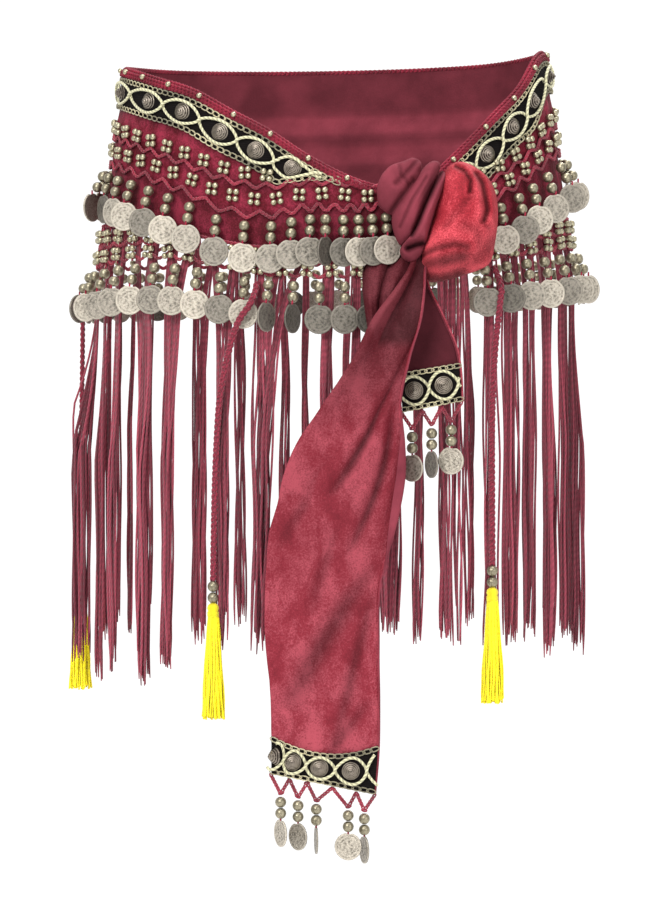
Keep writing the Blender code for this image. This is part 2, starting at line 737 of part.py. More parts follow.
def tassel(name, top, finish, place, guides):
    """Two beads, a bound head and the strands that hang from it, fused into one piece."""
    beads = (
        (0.0, 0.0015),
        (1.0, TASSEL_BEAD),
        (2.0, 0.0018),
        (3.0, TASSEL_BEAD),
        (4.0, 0.0022),
        (4.6, TASSEL_HALF),
    )
    corner = np.radians(np.arange(6) * 60.0)
    circle = np.stack([np.cos(corner), np.sin(corner), 0.0 * corner], axis=1)
    rings = [
        top + circle * radius - np.array([0.0, 0.0, GAP + drop * TASSEL_BEAD])
        for drop, radius in beads
    ]
    head_low = rings[-1].mean(axis=0) - np.array([0.0, 0.0, TASSEL_HEAD])
    rings.append(head_low + circle * TASSEL_HALF * 1.15)
    head = mesh_object("tassel_" + name, [loft(rings)], finish, place)
    corner = np.radians([90.0, 210.0, 330.0])
    small = TASSEL_STRAND * np.stack([np.cos(corner), np.sin(corner), 0.0 * corner], axis=1)
    hung = []
    for index in range(TASSEL_STRANDS):
        angle = index * 2.399963
        reach = math.sqrt((index + 0.4) / TASSEL_STRANDS)
        aim = np.array([math.cos(angle), math.sin(angle), 0.0]) * reach
        root = head_low + aim * TASSEL_HALF * 0.78 + np.array([0.0, 0.0, 0.002])
        end = head_low + aim * TASSEL_SPREAD
        end[2] = top[2] - TASSEL_LENGTH - 4.6 * TASSEL_BEAD + 0.003 * math.sin(index * 1.7)
        hung.append(loft([root + small, end + small]))
    combine(head, mesh_object("tassel_strands_" + name, hung, finish, guides), "UNION")


def build():
    """Make every piece of the scarf."""
    for old in list(bpy.data.objects):
        bpy.data.objects.remove(old, do_unlink=True)
    place = collection("hip_scarf")
    guides = collection("guides")
    velvet = material("crushed_velvet", WINE, 0.62)
    dull = material("velvet_wrong_side", WINE_DULL, 0.85)
    trim = material("studded_braid_trim", TRIM_GOLD, 0.5, 0.4)
    metal = material("antique_silver", SILVER, 0.4, 0.9)
    bead_metal = material("antique_bronze", BRONZE, 0.42, 0.9)
    crochet = material("crochet_thread", CORD_RED, 0.8)
    yarn = material("fringe_yarn", YARN_RED, 0.85)
    yellow = material("tassel_yarn", YELLOW, 0.8)
    velvet_band(velvet, place)
    band_trim(trim, place, guides)
    coin_row("upper", "line", UPPER_TURNS, 0.0, metal, place)
    net(crochet, place)
    coin_row("lower", "net", LOWER_TURNS, GAP, bead_metal, place)
    fringe(yarn, place)
    core, lobe_guide, wrap_guide = knot(velvet, dull, place, guides)
    gather(velvet, place, (core, lobe_guide, wrap_guide))
    finishes = (velvet, trim, metal)
    tail(
        "long_tail", LONG_TAIL, LONG_TAIL_ROWS, LONG_STUDS, LONG_COIN_TILTS,
        True, finishes, place, guides, (lobe_guide,),
    )
    tail(
        "short_tail", SHORT_TAIL, SHORT_TAIL_ROWS, SHORT_STUDS, SHORT_COIN_TILTS,
        False, (dull, trim, metal), place, guides, (lobe_guide,),
    )
    for name, route in CORDS:
        end = cord(name, route, crochet, place)
        tassel(name, end, yellow, place, guides)


build()
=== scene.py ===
"""Looks of the belly dance hip scarf: cloth, trim, crochet, beads, coins, fringe and tassels.

Sizes are metres in the row frame: +Z is up, the front faces -Y and the origin is the middle of
the hips where the scarf is held. A turn is an angle round the hips in degrees, 0 at the front
and -90 at the left of a front view. Out is the distance from the hips along their normal.
"""
import math

import bpy
import numpy as np
from bpy.props import FloatProperty, FloatVectorProperty, PointerProperty
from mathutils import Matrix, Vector


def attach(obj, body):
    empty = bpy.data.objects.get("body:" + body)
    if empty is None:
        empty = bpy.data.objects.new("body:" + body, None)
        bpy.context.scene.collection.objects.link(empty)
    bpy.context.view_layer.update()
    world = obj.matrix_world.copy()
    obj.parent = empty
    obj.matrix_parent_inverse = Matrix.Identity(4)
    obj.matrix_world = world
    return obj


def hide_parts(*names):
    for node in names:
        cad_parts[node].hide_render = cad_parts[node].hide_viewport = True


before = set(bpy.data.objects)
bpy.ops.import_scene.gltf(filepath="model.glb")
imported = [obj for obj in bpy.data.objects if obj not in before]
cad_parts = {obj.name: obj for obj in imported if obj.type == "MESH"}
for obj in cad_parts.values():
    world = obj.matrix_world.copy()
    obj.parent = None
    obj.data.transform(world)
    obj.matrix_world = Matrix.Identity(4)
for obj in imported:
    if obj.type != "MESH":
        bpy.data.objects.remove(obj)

bl_info = {
    "name": "Belly dance hip scarf",
    "version": (1, 0, 0),
    "blender": (4, 5, 0),
    "location": "View3D > Sidebar > Hip Scarf",
    "description": "Builds the visible pieces of a beaded velvet hip scarf",
    "category": "Add Mesh",
}

MM = 0.001

# Hips: an elliptical cone that widens downwards, and upright below the net.
HIP_HALF_WIDTH = 0.170
HIP_FLARE = 0.13
HIP_DEPTH_SHARE = 0.69
HIP_UPRIGHT_BELOW = -0.100
FIRST_TURN = -334.0
LAST_TURN = 16.0

# Heights round the band in millimetres, as in the CAD source.
BAND_COLUMNS = ("turn", "top", "chain", "line", "hem", "net")
BAND = (
    (-334, -14, -38, -48, -70, -86),
    (-324, 10, -28, -42, -65, -82),
    (-315, 30, -17, -33, -60, -78),
    (-304, 50, -2, -19, -54, -75),
    (-290, 76, 17, -4, -49, -71),
    (-270, 82, 27, 3, -46, -70),
    (-225, 80, 26, 2, -47, -74),
    (-180, 78, 24, 0, -49, -77),
    (-135, 75, 22, -2, -51, -81),
    (-90, 71, 18, -6, -52, -85),
    (-74, 67, 13, -10, -53, -84),
    (-54, 57, 2, -20, -56, -80),
    (-39, 46, -10, -33, -61, -81),
    (-28, 31, -21, -46, -68, -87),
    (-17, 15, -27, -51, -73, -93),
    (-7, -4, -24, -46, -73, -95),
    (5, -22, -26, -46, -72, -95),
    (16, -31, -33, -43, -70, -94),
)

# Layers, as distances out from the hips, and the velvet's rows and columns of points.
VELVET_GRID = (38, 520)
VELVET_WALL = 0.002
RIBBON_INNER = 0.0023
RIBBON_WALL = 0.0009

# Trim: a ribbon with chain-stitched edges, two cords that cross between the studs, and the studs,
# which are one spacing apart at the back and stand at turns of their own towards the knot.
EDGING = 0.006
TRIM_WIDTH = 0.025
TRIM_CLEAR = 0.001
TRIM_END_TURN = 0.0
STUD_SPACING = 0.0285
STUDS_RIGHT = (-328.0, -319.1, -308.5, -296.7, -279.0)
STUDS_LEFT = (-97.0, -78.6, -57.5, -43.0, -30.4, -20.2, -10.6)
STUD_RADIUS = 0.0068
STUD_HEIGHT = 0.0058
EYE_HALF_HEIGHT = 0.0082
EYE_CORD_RADIUS = 0.0011
TRIM_STITCH_INSETS = (-0.0028, 0.0019)

# Chain stitches: their spacing, half length, half width and the radius of their thread.
TRIM_STITCH = (0.0056, 0.0036, 0.0017, 0.0005)
TAIL_TRIM_STITCH = (0.0054, 0.0035, 0.0016, 0.0005)
EDGING_STITCH = (0.0036, 0.0028, 0.0009, 0.0011)
CROCHET_STITCH = (0.0028, 0.002016, 0.0007, 0.00075)
HEM_STITCH = (0.003, 0.00216, 0.0007, 0.0008)
TAIL_POINT_STITCH = (0.0026, 0.0019, 0.0008, 0.0007)
THREAD_SIDES = 5
# Edging: how far each row of stitches lies below the top edge, its out, and the beads' radius.
EDGING_ROWS = ((0.0008, 0.0012), (0.0028, 0.0030), (0.0050, 0.0034))
EDGING_BEAD = 0.0021

# Pendants: drop below their strip and out of the two beads and the coin in millimetres, and
# sizes in metres.
BEAD_DROPS = ((4.3, 3.9), (12.5, 5.1))
COIN_DROP = 28.0
COIN_OUT = 5.75
COIN_RADIUS = 0.011
COIN_TILT = math.radians(8.5)
PENDANT_SPACING = 0.0183
STRIP_HEIGHT = 0.002
STRIP_OUT = 0.00355
UPPER_TURNS = (-319.0, 9.5)
LOWER_TURNS = (-327.0, 10.5)
# Turns of the upper pendants on both sides of the knot, where they aren't one spacing apart.
UPPER_RIGHT = (-317.3, -310.7, -304.6, -296.7, -286.5, -277.0)
UPPER_FRONT = (-29.2, -21.8, -15.2, -10.4, -6.0, -2.4, 1.7, 5.2, 8.4, 11.7)
# Coins that hang askew by the knot: row, from turn, to turn, and the coin's own turn.
ASKEW_COINS = (
    ("upper", -12.0, 16.0, -15.0),
    ("upper", -2.5, -2.3, -62.0),
    ("lower", -16.0, -5.0, -66.0),
)
# Coins in the knot's shade: row, from turn, to turn, and their brightness.
SHADED_COINS = (
    ("upper", -8.0, 4.0, 0.25),
    ("lower", -16.0, 16.0, 0.12),
    ("lower", -334.0, -317.0, 0.12),
)
# The band's wings, front right, back and front left, meet at these turns.
WING_LIMITS = (-334.0, -275.0, -80.0, 16.0)
SEAM_TURN = 0.07
GROUP_SPACING = 0.0166

# Fringe: heights of the yarns' ends in millimetres, by turn.
FRINGE_END = (
    (-334, -362),
    (-290, -366),
    (-180, -372),
    (-100, -366),
    (-86, -368),
    (-78, -384),
    (-44, -386),
    (-34, -380),
    (-28, -346),
    (-20, -356),
    (-6, -358),
    (16, -350),
)
# Bunches: root turns, the turn they hang to, and their radius and out at the end in mm.
BUNCHES = (
    (-283.0, -272.0, -279.0, 5.0, 5.5),
    (-250.0, -236.0, -244.0, 5.5, 5.0),
    (-200.0, -184.0, -193.0, 6.0, 5.0),
    (-150.0, -136.0, -144.0, 5.5, 5.0),
    (-112.0, -98.0, -106.0, 5.5, 5.0),
    (-100.0, -80.0, -88.0, 8.0, 14.0),
    (-80.0, -70.0, -73.5, 2.6, 5.5),
    (-70.0, -57.0, -64.0, 4.6, 6.0),
    (-57.0, -45.5, -50.2, 5.2, 5.5),
    (-45.5, -31.0, -42.6, 4.6, 5.0),
    (-31.0, -22.0, -27.0, 3.6, 4.0),
    (-22.0, -2.5, -17.3, 6.8, 7.5),
)
TUFT_YARNS = 11
# Up to this turn, at the right of the front, the tufts hang spread out.
SPREAD_BEFORE = -284.0

# Cords: route points as turn, height and out in millimetres, as in the CAD source.
CORD_LEFT = (
    (-18.2, -98.2, 5.5),
    (-18.2, -101.5, 6.6),
    (-18.3, -106.0, 9.6),
    (-18.6, -110.5, 13.6),
    (-19.3, -116.0, 15.4),
    (-21.9, -128.0, 15.6),
    (-24.5, -152.0, 13.0),
    (-26.7, -183.0, 11.0),
    (-27.6, -215.0, 10.0),
    (-28.2, -248.0, 9.0),
    (-28.5, -280.0, 8.5),
    (-28.8, -319.0, 8.0),
)
CORD_FAR_LEFT = (
    (-96.8, -90.0, 5.5),
    (-96.8, -93.3, 6.6),
    (-96.8, -97.8, 9.6),
    (-96.8, -102.3, 13.0),
    (-96.7, -107.8, 14.9),
    (-96.5, -120.0, 15.2),
    (-96.3, -150.0, 15.4),
    (-96.0, -200.0, 16.0),
    (-96.0, -250.0, 16.6),
    (-96.0, -308.0, 17.2),
)
CORD_RIGHT = (
    (-320.5, -85.8, 5.5),
    (-320.5, -89.1, 6.6),
    (-320.5, -93.6, 9.6),
    (-320.6, -98.1, 13.0),
    (-320.8, -103.6, 14.9),
    (-321.4, -116.0, 15.2),
    (-322.2, -150.0, 12.5),
    (-322.6, -200.0, 10.5),
    (-322.4, -250.0, 9.5),
    (-322.2, -308.0, 9.0),
)
CORDS = (("left", CORD_LEFT), ("far_left", CORD_FAR_LEFT), ("right", CORD_RIGHT))
CORD_POINTS = 33
# Plait: half width and half depth of its strands' paths, its pitch and a strand's radius.
PLAIT = (0.0014, 0.0007, 0.013, 0.00125)
TASSEL_BEAD = 0.0042
TASSEL_HEAD = 0.012
TASSEL_LENGTH = 0.086
TASSEL_HALF = 0.0045
TASSEL_SPREAD = 0.0088
TASSEL_YARNS = 70
# Turn from one yarn of a tassel to the next, which fills a disc evenly.
GOLDEN_ANGLE = 2.399963

# Tails: their edges down their length in millimetres, as in the CAD source.
TAIL_COLUMNS = ("height", "left", "right", "front", "lean")
LONG_TAIL = (
    (-74.0, 58.0, 68.0, -133.0, 0.0),
    (-88.0, 53.5, 65.0, -140.0, 0.0),
    (-104.0, 43.0, 64.0, -147.0, 0.0),
    (-124.0, 28.0, 61.5, -152.0, 0.0),
    (-154.0, 13.0, 53.0, -154.0, 0.0),
    (-193.0, -13.0, 46.0, -152.0, 0.0),
    (-215.0, -28.0, 48.0, -151.0, 0.0),
    (-240.0, -38.5, 48.5, -150.0, 0.0),
    (-262.0, -43.0, 45.0, -149.0, 2.0),
    (-284.0, -49.0, 39.5, -148.0, 4.0),
    (-306.0, -51.0, 33.5, -147.0, 5.0),
    (-365.0, -52.0, 30.5, -145.0, 8.0),
    (-402.0, -48.5, 31.0, -144.0, 11.0),
    (-437.0, -47.5, 30.5, -143.0, 13.0),
    (-467.0, -47.5, 28.0, -142.0, 15.0),
)
SHORT_TAIL = (
    (-84.0, 54.0, 64.0, -128.0, 0.0),
    (-98.0, 52.0, 66.0, -130.0, 0.0),
    (-122.0, 48.0, 77.0, -132.0, 0.0),
    (-150.0, 46.0, 88.0, -132.0, -4.0),
    (-162.0, 47.0, 90.0, -132.0, -7.0),
    (-190.0, 49.0, 92.0, -131.0, -8.0),
)
# Folds of the long tail: from height, from share across, to height, to share, width, depth.
TAIL_FOLDS = (
    (-128.0, 1.08, -258.0, 0.41, 0.07, 6.5),
    (-120.0, 1.22, -262.0, 0.24, 0.10, -2.5),
    (-186.0, 0.94, -300.0, 0.69, 0.05, 4.5),
    (-186.0, 0.84, -300.0, 0.58, 0.06, -2.0),
    (-76.0, 0.14, -205.0, 0.03, 0.12, -4.5),
    (-84.0, 0.46, -158.0, 0.36, 0.16, 6.0),
    (-225.0, 0.34, -300.0, 0.10, 0.08, 2.5),
    (-300.0, 0.96, -418.0, 0.14, 0.11, 3.6),
    (-262.0, 0.62, -345.0, 0.40, 0.07, 2.2),
    (-320.0, 0.98, -440.0, 0.58, 0.06, 3.0),
    (-400.0, 0.92, -452.0, 0.50, 0.06, 2.2),
)
TAIL_WALL = 0.0014
TAIL_TRIM_WIDTH = 0.0285
# How much the end trims narrow from their middle to their sides.
LONG_WAIST = 1.28
SHORT_WAIST = 0.0
LONG_STUDS = (0.035, 0.20, 0.46, 0.76)
SHORT_STUDS = (0.22, 0.72)
LONG_PENDANTS = ((0.091, 64.0), (0.26, 50.0), (0.437, 84.0), (0.748, 12.0), (0.905, 72.0))
SHORT_PENDANTS = ((0.167, 40.0), (0.5, 65.0), (0.833, 25.0))
# A stud nearer the tail's left corner than this share is turned aside by this angle.
CORNER_STUD_SHARE = 0.1
CORNER_STUD_TURN = 58.0
TAIL_STEM = 0.013
TAIL_COIN_SHARE = 0.92

# Knot: outlines and creases drawn in the front view as x and z in millimetres.
BIG_LOBE = (
    (81.4, -12.6), (91.8, -7.4), (105.8, -14.8), (114.0, -22.9), (119.1, -34.8), (119.9, -53.3),
    (116.9, -71.8), (114.7, -84.4), (107.3, -88.8), (91.8, -94.0), (71.8, -99.6), (64.5, -96.5),
    (60.5, -89.0), (61.5, -79.0), (65.5, -68.0), (70.3, -53.3), (73.3, -37.7), (77.0, -24.0),
)
# A crease is a line, its depth (a ridge where negative) and its width in millimetres; one of
# positive depth also darkens the cloth along it as painted shade.
BIG_LOBE_CREASES = (
    (((88.0, -13.5), (94.7, -17.8), (98.4, -25.2), (97.7, -33.0)), 3.6, 1.6),
    (((103.0, -19.0), (107.3, -26.0), (109.0, -36.0), (110.7, -46.0), (108.0, -54.0)), 5.0, 2.3),
    (((63.0, -79.0), (74.0, -74.0), (86.0, -71.5), (96.0, -73.5)), 3.0, 3.0),
    (((72.0, -28.0), (70.5, -42.0), (67.0, -58.0), (64.0, -70.0)), 3.2, 1.7),
    (((98.5, -36.0), (90.0, -46.0), (80.0, -58.0)), 1.2, 3.2),
    (((67.0, -85.0), (78.0, -84.0), (94.0, -80.0)), 3.2, 6.5),
    (((64.0, -94.0), (76.0, -98.0), (92.0, -92.0)), 3.4, 7.0),
    (((92.0, -86.0), (104.0, -82.0), (115.0, -70.0)), 2.1, 7.0),
    (((94.0, -58.0), (103.0, -62.0), (107.0, -76.0)), 1.6, 5.0),
    (((112.0, -60.0), (106.0, -55.0)), 1.8, 2.0),
    (((80.0, -22.0), (84.0, -38.0), (79.0, -52.0), (72.0, -66.0)), -2.2, 4.5),
    (((98.0, -20.0), (103.0, -34.0), (103.0, -48.0), (110.0, -58.0)), -2.4, 2.4),
)
SMALL_LOBE = (
    (29.6, -28.9), (33.3, -19.2), (40.0, -11.8), (50.3, -8.9), (56.5, -5.9), (63.0, -9.0),
    (64.0, -20.0), (60.0, -34.0), (52.0, -46.0), (40.0, -50.0), (31.0, -42.0),
)
SMALL_LOBE_CREASES = (
    (((62.0, -7.0), (54.0, -16.0), (44.0, -26.0)), 1.5, 1.8),
    (((57.0, -24.0), (48.0, -36.0), (38.0, -50.0)), 2.2, 2.0),
    (((46.0, -12.0), (48.0, -20.0), (54.0, -27.0)), 1.4, 1.3),
    (((36.0, -24.0), (42.0, -32.0), (50.0, -31.0)), -1.0, 3.0),
)
WRAP_TURN = (
    (64.5, -13.5), (71.0, -8.4), (76.0, -9.5), (77.4, -13.5), (72.5, -25.0), (66.5, -39.0),
    (60.8, -54.0), (57.0, -63.5), (53.0, -71.0), (46.5, -72.0), (41.8, -61.0), (40.2, -48.5),
    (49.0, -36.0), (58.0, -24.0),
)
WRAP_CREASES = (
    (((75.0, -15.0), (66.0, -34.0), (58.5, -60.0)), 1.5, 2.6),
    (((66.0, -22.0), (56.0, -38.0), (47.0, -58.0)), 1.5, 1.3),
)
STRIP_TURN = (
    (76.5, -16.0), (80.0, -17.0), (81.5, -22.0), (79.0, -30.0), (75.5, -38.0), (72.0, -50.0),
    (68.5, -62.0), (65.5, -73.0), (61.5, -81.0), (55.5, -85.0), (49.5, -82.0), (46.0, -76.0),
    (48.5, -71.0), (53.5, -66.5), (57.0, -59.0), (61.5, -48.0), (66.5, -36.5), (71.5, -25.5),
)
STRIP_CREASES = (
    (((78.5, -16.0), (72.5, -27.0), (66.0, -41.0), (60.0, -56.0), (55.5, -64.5)), 5.5, 1.7),
    (((53.0, -73.5), (58.0, -71.2), (63.0, -70.0)), 6.5, 2.4),
    (((47.5, -77.0), (51.0, -81.0), (58.0, -81.0)), -1.6, 1.8),
    (((77.0, -30.0), (71.0, -46.0), (65.5, -61.0)), -1.2, 2.4),
)
KNOT_PARTS = (
    # name, outline, middle, its y with the swell to front and back, creases, nodes, slot
    ("knot_big_lobe", BIG_LOBE, (92.0, -52.0), (-128.0, 30.0, 14.0), BIG_LOBE_CREASES,
     ["knot_right_lobe"], "crushed_velvet"),
    ("knot_small_lobe", SMALL_LOBE, (48.0, -27.0), (-129.0, 13.0, 6.0), SMALL_LOBE_CREASES,
     ["knot_left_lobe"], "velvet_wrong_side"),
    ("knot_wrap", WRAP_TURN, (60.0, -42.0), (-132.0, 18.0, 6.0), WRAP_CREASES,
     ["knot_wrap"], "velvet_wrong_side"),
    ("knot_strip", STRIP_TURN, (65.5, -52.5), (-135.0, 18.0, 6.0), STRIP_CREASES,
     [], "velvet_wrong_side"),
)
GATHER_COLUMNS = ("height", "left", "right", "front")
GATHER = (
    (-56.0, 42.0, 64.0, -123.5),
    (-68.0, 37.0, 62.0, -125.0),
    (-78.0, 29.0, 60.0, -126.5),
    (-86.0, 21.5, 57.0, -129.5),
    (-94.0, 20.0, 53.0, -135.5),
    (-104.0, 20.0, 48.0, -140.0),
    (-118.0, 21.5, 43.0, -142.0),
    (-134.0, 24.0, 38.0, -141.0),
)

# Camera and stage.
TARGET = (-0.0044, -0.12, -0.222)
CAMERA_AWAY = 2.6
CAMERA_RISE = 1.0
CAMERA_LENS = 140.5
FLOOR_HEIGHT = -0.95
FLOOR_RADIUS = 2.4
SKY_FRONT = 0.67
SKY_BACK = 1.1
LIGHTS = (
    # name, place, size and power
    ("key_light", (-1.1, -2.3, 1.2), 1.0, 58.0),
    ("fill_light", (1.8, -2.0, 0.2), 1.6, 20.0),
    ("rim_light", (0.6, 1.1, 1.4), 0.8, 22.0),
    ("top_light", (0.0, -0.6, 2.6), 2.0, 60.0),
)


def linear(code):
    """Linear colour of an sRGB hex code."""
    parts = np.array([int(code[i : i + 2], 16) for i in (1, 3, 5)]) / 255.0
    low, high = parts / 12.92, ((parts + 0.055) / 1.055) ** 2.4
    return tuple(float(value) for value in np.where(parts <= 0.04045, low, high))


# Shapes from the CAD source.


def smooth_read(table, column, names, places):
    """A table's column at any places: cubics whose slopes are those of the rows around."""
    across = np.array([row[0] for row in table], dtype=float)
    values = np.array([row[names.index(column)] for row in table], dtype=float)
    places = np.asarray(places, dtype=float)
    slopes = np.gradient(values, across)
    order = np.argsort(across)
    across, values, slopes = across[order], values[order], slopes[order]
    first = np.clip(np.searchsorted(across, places) - 1, 0, len(across) - 2)
    width = across[first + 1] - across[first]
    share = np.clip((places - across[first]) / width, 0.0, 1.0)
    rise = values[first + 1] - values[first]
    start = slopes[first] * width
    finish = slopes[first + 1] * width
    bend = share * share * (3.0 - 2.0 * share)
    ease = share * (1.0 - share)
    return values[first] + rise * bend + ease * (start * (1.0 - share) - finish * share)


def band(column, turns):
    """Height of one of the band's lines, in metres."""
    return smooth_read(BAND, column, BAND_COLUMNS, turns) * MM


def half_width(heights):
    """Half width of the hips at these heights."""
    return HIP_HALF_WIDTH - HIP_FLARE * np.maximum(heights, HIP_UPRIGHT_BELOW)


def hip(turns, heights, out=0.0):
    """Points at these turns and heights, moved out level with the hips' normal there."""
    angle = np.radians(np.asarray(turns, dtype=float))
    heights = np.asarray(heights, dtype=float) + 0.0 * angle
    wide = half_width(heights)
    deep = HIP_DEPTH_SHARE * wide
    across, away = np.sin(angle) / wide, -np.cos(angle) / deep
    size = np.hypot(across, away)
    x = wide * np.sin(angle) + out * across / size
    y = -deep * np.cos(angle) + out * away / size
    return np.stack([x, y, heights], axis=-1)


def unit(vectors):
    """Vectors of length one."""
    return vectors / np.maximum(np.linalg.norm(vectors, axis=-1, keepdims=True), 1e-12)


def run_along(points):
    """Distance along a line of points."""
    steps = np.linalg.norm(np.diff(points, axis=0), axis=1)
    return np.concatenate([[0.0], np.cumsum(steps)])


def evenly(first, last, column, spacing):
    """Turns from first to last that are one spacing apart along the band."""
    fine = np.linspace(first, last, 4000)
    run = run_along(hip(fine, band(column, fine))[:, :2])
    count = int(round(run[-1] / spacing)) + 1
    return np.interp(np.linspace(0.0, run[-1], count), run, fine)


def trim_edges(turns):
    """Upper and lower heights of the trim: its width is square to the sloping top edge."""
    ahead, behind = turns + 0.5, turns - 0.5
    rise = band("top", ahead) - band("top", behind)
    points = hip(ahead, band("top", ahead)) - hip(behind, band("top", behind))
    run = np.hypot(points[:, 0], points[:, 1])
    upper = band("top", turns) - EDGING
    lower = upper - TRIM_WIDTH * np.hypot(1.0, rise / run)
    return upper, np.maximum(lower, band("chain", turns) + TRIM_CLEAR)


def pendant_turns(column, limits):
    """Turns of a row of pendants: the middles of the CAD strip's cells, wing by wing."""
    found = []
    for first, last in zip(WING_LIMITS[:-1], WING_LIMITS[1:]):
        low, high = max(first + SEAM_TURN, limits[0]), min(last - SEAM_TURN, limits[1])
        cells = evenly(low, high, column, PENDANT_SPACING)
        found.append((cells[:-1] + cells[1:]) / 2.0)
    return np.concatenate(found)


def fold_depth(heights, across):
    """How far the tail's folds sink: soft troughs along slanting lines that fade at both ends."""
    depth = 0.0 * heights * across
    for start, start_across, end, end_across, width, deep in TAIL_FOLDS:
        run = (heights - start) / (end - start)
        middle = start_across + (end_across - start_across) * run
        fade = np.clip(np.sin(np.clip(run, 0.0, 1.0) * math.pi), 0.0, 1.0) ** 0.5
        depth = depth + deep * fade * np.exp(-(((across - middle) / width) ** 2))
    return depth


def tail_points(table, heights, across, out, folded):
    """Points of a hanging tail; out moves them forwards."""
    left, right, front, lean = (
        smooth_read(table, column, TAIL_COLUMNS, heights) for column in TAIL_COLUMNS[1:]
    )
    x = left + (right - left) * across
    sunk = fold_depth(heights, across) if folded else 0.0 * x
    y = front + sunk - out / MM
    z = heights - lean * (across - 0.5)
    return np.stack([x, y + 0.0 * x, z + 0.0 * x], axis=-1) * MM


def cord_path(route, count):
    """Points one even step apart on a smooth curve through the route."""
    turns, heights, outs = np.asarray(route, dtype=float).T
    knots = hip(turns, heights * MM, outs * MM)
    place = np.arange(len(knots), dtype=float)
    fine = np.linspace(0.0, place[-1], 40 * len(knots))
    rows = [[(p, v) for p, v in zip(place, knots[:, axis])] for axis in range(3)]
    curve = np.stack([smooth_read(row, "value", ("place", "value"), fine) for row in rows], axis=1)
    run = run_along(curve)
    even = np.linspace(0.0, run[-1], count)
    return np.stack([np.interp(even, run, curve[:, axis]) for axis in range(3)], axis=1)


# Forms: a form is its points, its faces in arrays of quads and triangles, and for each point a
# grain, which is a length along, a length across and a number that differs between copies.


def lattice(points, grain=None, wrap=False, flip=False):
    """Quads over a grid of points; wrap joins the last column to the first."""
    rows, columns = points.shape[:2]
    across = columns if wrap else columns - 1
    row, column = np.meshgrid(np.arange(rows - 1), np.arange(across), indexing="ij")
    here = (row * columns + column).ravel()
    after = (row * columns + (column + 1) % columns).ravel()
    quads = np.stack([here, after, after + columns, here + columns], axis=1)
    if flip:
        quads = quads[:, ::-1]
    if grain is None:
        grain = np.zeros(points.shape)
    return points.reshape(-1, 3), [quads], grain.reshape(-1, 3)


def joined(forms):
    """Several forms as one."""
    base, points, faces, grains = 0, [], [], []
    for form_points, form_faces, grain in forms:
        points.append(form_points)
        grains.append(grain)
        faces.extend(group + base for group in form_faces)
        base += len(form_points)
    return np.concatenate(points), faces, np.concatenate(grains)


def copies(form, axes, places, marks=None):
    """The form at each place, its x, y and z laid along that place's three axes."""
    points, faces, grain = form
    count = len(places)
    moved = np.einsum("pk,nkc->npc", points, axes) + places[:, None, :]
    shift = np.arange(count)[:, None, None] * len(points)
    grains = np.repeat(grain[None], count, axis=0)
    if marks is not None:
        grains[:, :, 2] = marks[:, None]
    groups = [(group[None] + shift).reshape(-1, group.shape[1]) for group in faces]
    return moved.reshape(-1, 3), groups, grains.reshape(-1, 3)


def fan(first, sides, tip, backwards=False):
    """Triangles that close a ring of points, numbered from the first one on, to a tip."""
    around = first + np.arange(sides)
    after = first + (np.arange(sides) + 1) % sides
    pair = (after, around) if backwards else (around, after)
    return np.stack([*pair, np.full(sides, tip)], axis=1)


def uneven(count, step, first=0):
    """Uneven numbers from 0 to 1 that tell copies apart: half of one plus a sine."""
    return np.sin((np.arange(count) + first) * step) * 0.5 + 0.5


def turned(profile, sides):
    """A turned form: radius and height pairs spun round z, closed at a pole where radius is 0."""
    profile = np.asarray(profile, dtype=float)
    angle = np.arange(sides) * 2.0 * math.pi / sides
    open_rows = profile[profile[:, 0] > 0.0]
    ring = np.stack([np.cos(angle), np.sin(angle)], axis=1)
    walls = np.concatenate(
        [
            open_rows[:, None, :1] * ring[None],
            np.broadcast_to(open_rows[:, None, 1:], (len(open_rows), sides, 1)),
        ],
        axis=2,
    )
    points, faces, _ = lattice(walls, wrap=True)
    for pole, row in ((0, 0), (-1, len(open_rows) - 1)):
        if profile[pole, 0] == 0.0:
            faces.append(fan(row * sides, sides, len(points), pole == 0))
            points = np.concatenate([points, [[0.0, 0.0, profile[pole, 1]]]])
    return points, faces, points.copy()


def ball(radius, sides, rings, hole=0.0):
    """A round bead: radius sin a and height radius cos a, dented by hole at its poles."""
    angle = np.linspace(0.0, math.pi, rings + 1)
    reach = radius * np.sin(angle)
    reach[[0, -1]] = 0.0
    height = -radius * np.cos(angle)
    height[0] += hole
    height[-1] -= hole
    return turned(np.stack([reach, height], axis=1), sides)


def tube(paths, radius, sides, marks=None):
    """Tubes along several paths at once: each ring lies square to its path's direction."""
    paths = np.asarray(paths, dtype=float)
    forward = unit(np.gradient(paths, axis=1))
    helper = np.array([0.31, 0.77, 0.56])
    side = unit(np.cross(forward, helper))
    up = np.cross(side, forward)
    angle = np.linspace(0.0, 2.0 * math.pi, sides + 1)
    radius = np.broadcast_to(np.asarray(radius, dtype=float), paths.shape[:2])
    ring = (
        np.cos(angle)[None, None, :, None] * side[:, :, None, :]
        + np.sin(angle)[None, None, :, None] * up[:, :, None, :]
    )
    points = paths[:, :, None, :] + radius[:, :, None, None] * ring
    steps = np.linalg.norm(np.diff(paths, axis=1), axis=2)
    along = np.concatenate([np.zeros((len(paths), 1)), np.cumsum(steps, axis=1)], axis=1)
    grain = np.zeros(points.shape)
    grain[..., 0] = along[:, :, None]
    grain[..., 1] = (angle / (2.0 * math.pi))[None, None, :]
    grain[..., 2] = 0.0 if marks is None else marks[:, None, None]
    count, rows, columns = points.shape[:3]
    _, faces, _ = lattice(points[0])
    shift = np.arange(count)[:, None, None] * (rows * columns)
    quads = (faces[0][None] + shift).reshape(-1, 4)
    return points.reshape(-1, 3), [quads], grain.reshape(-1, 3)


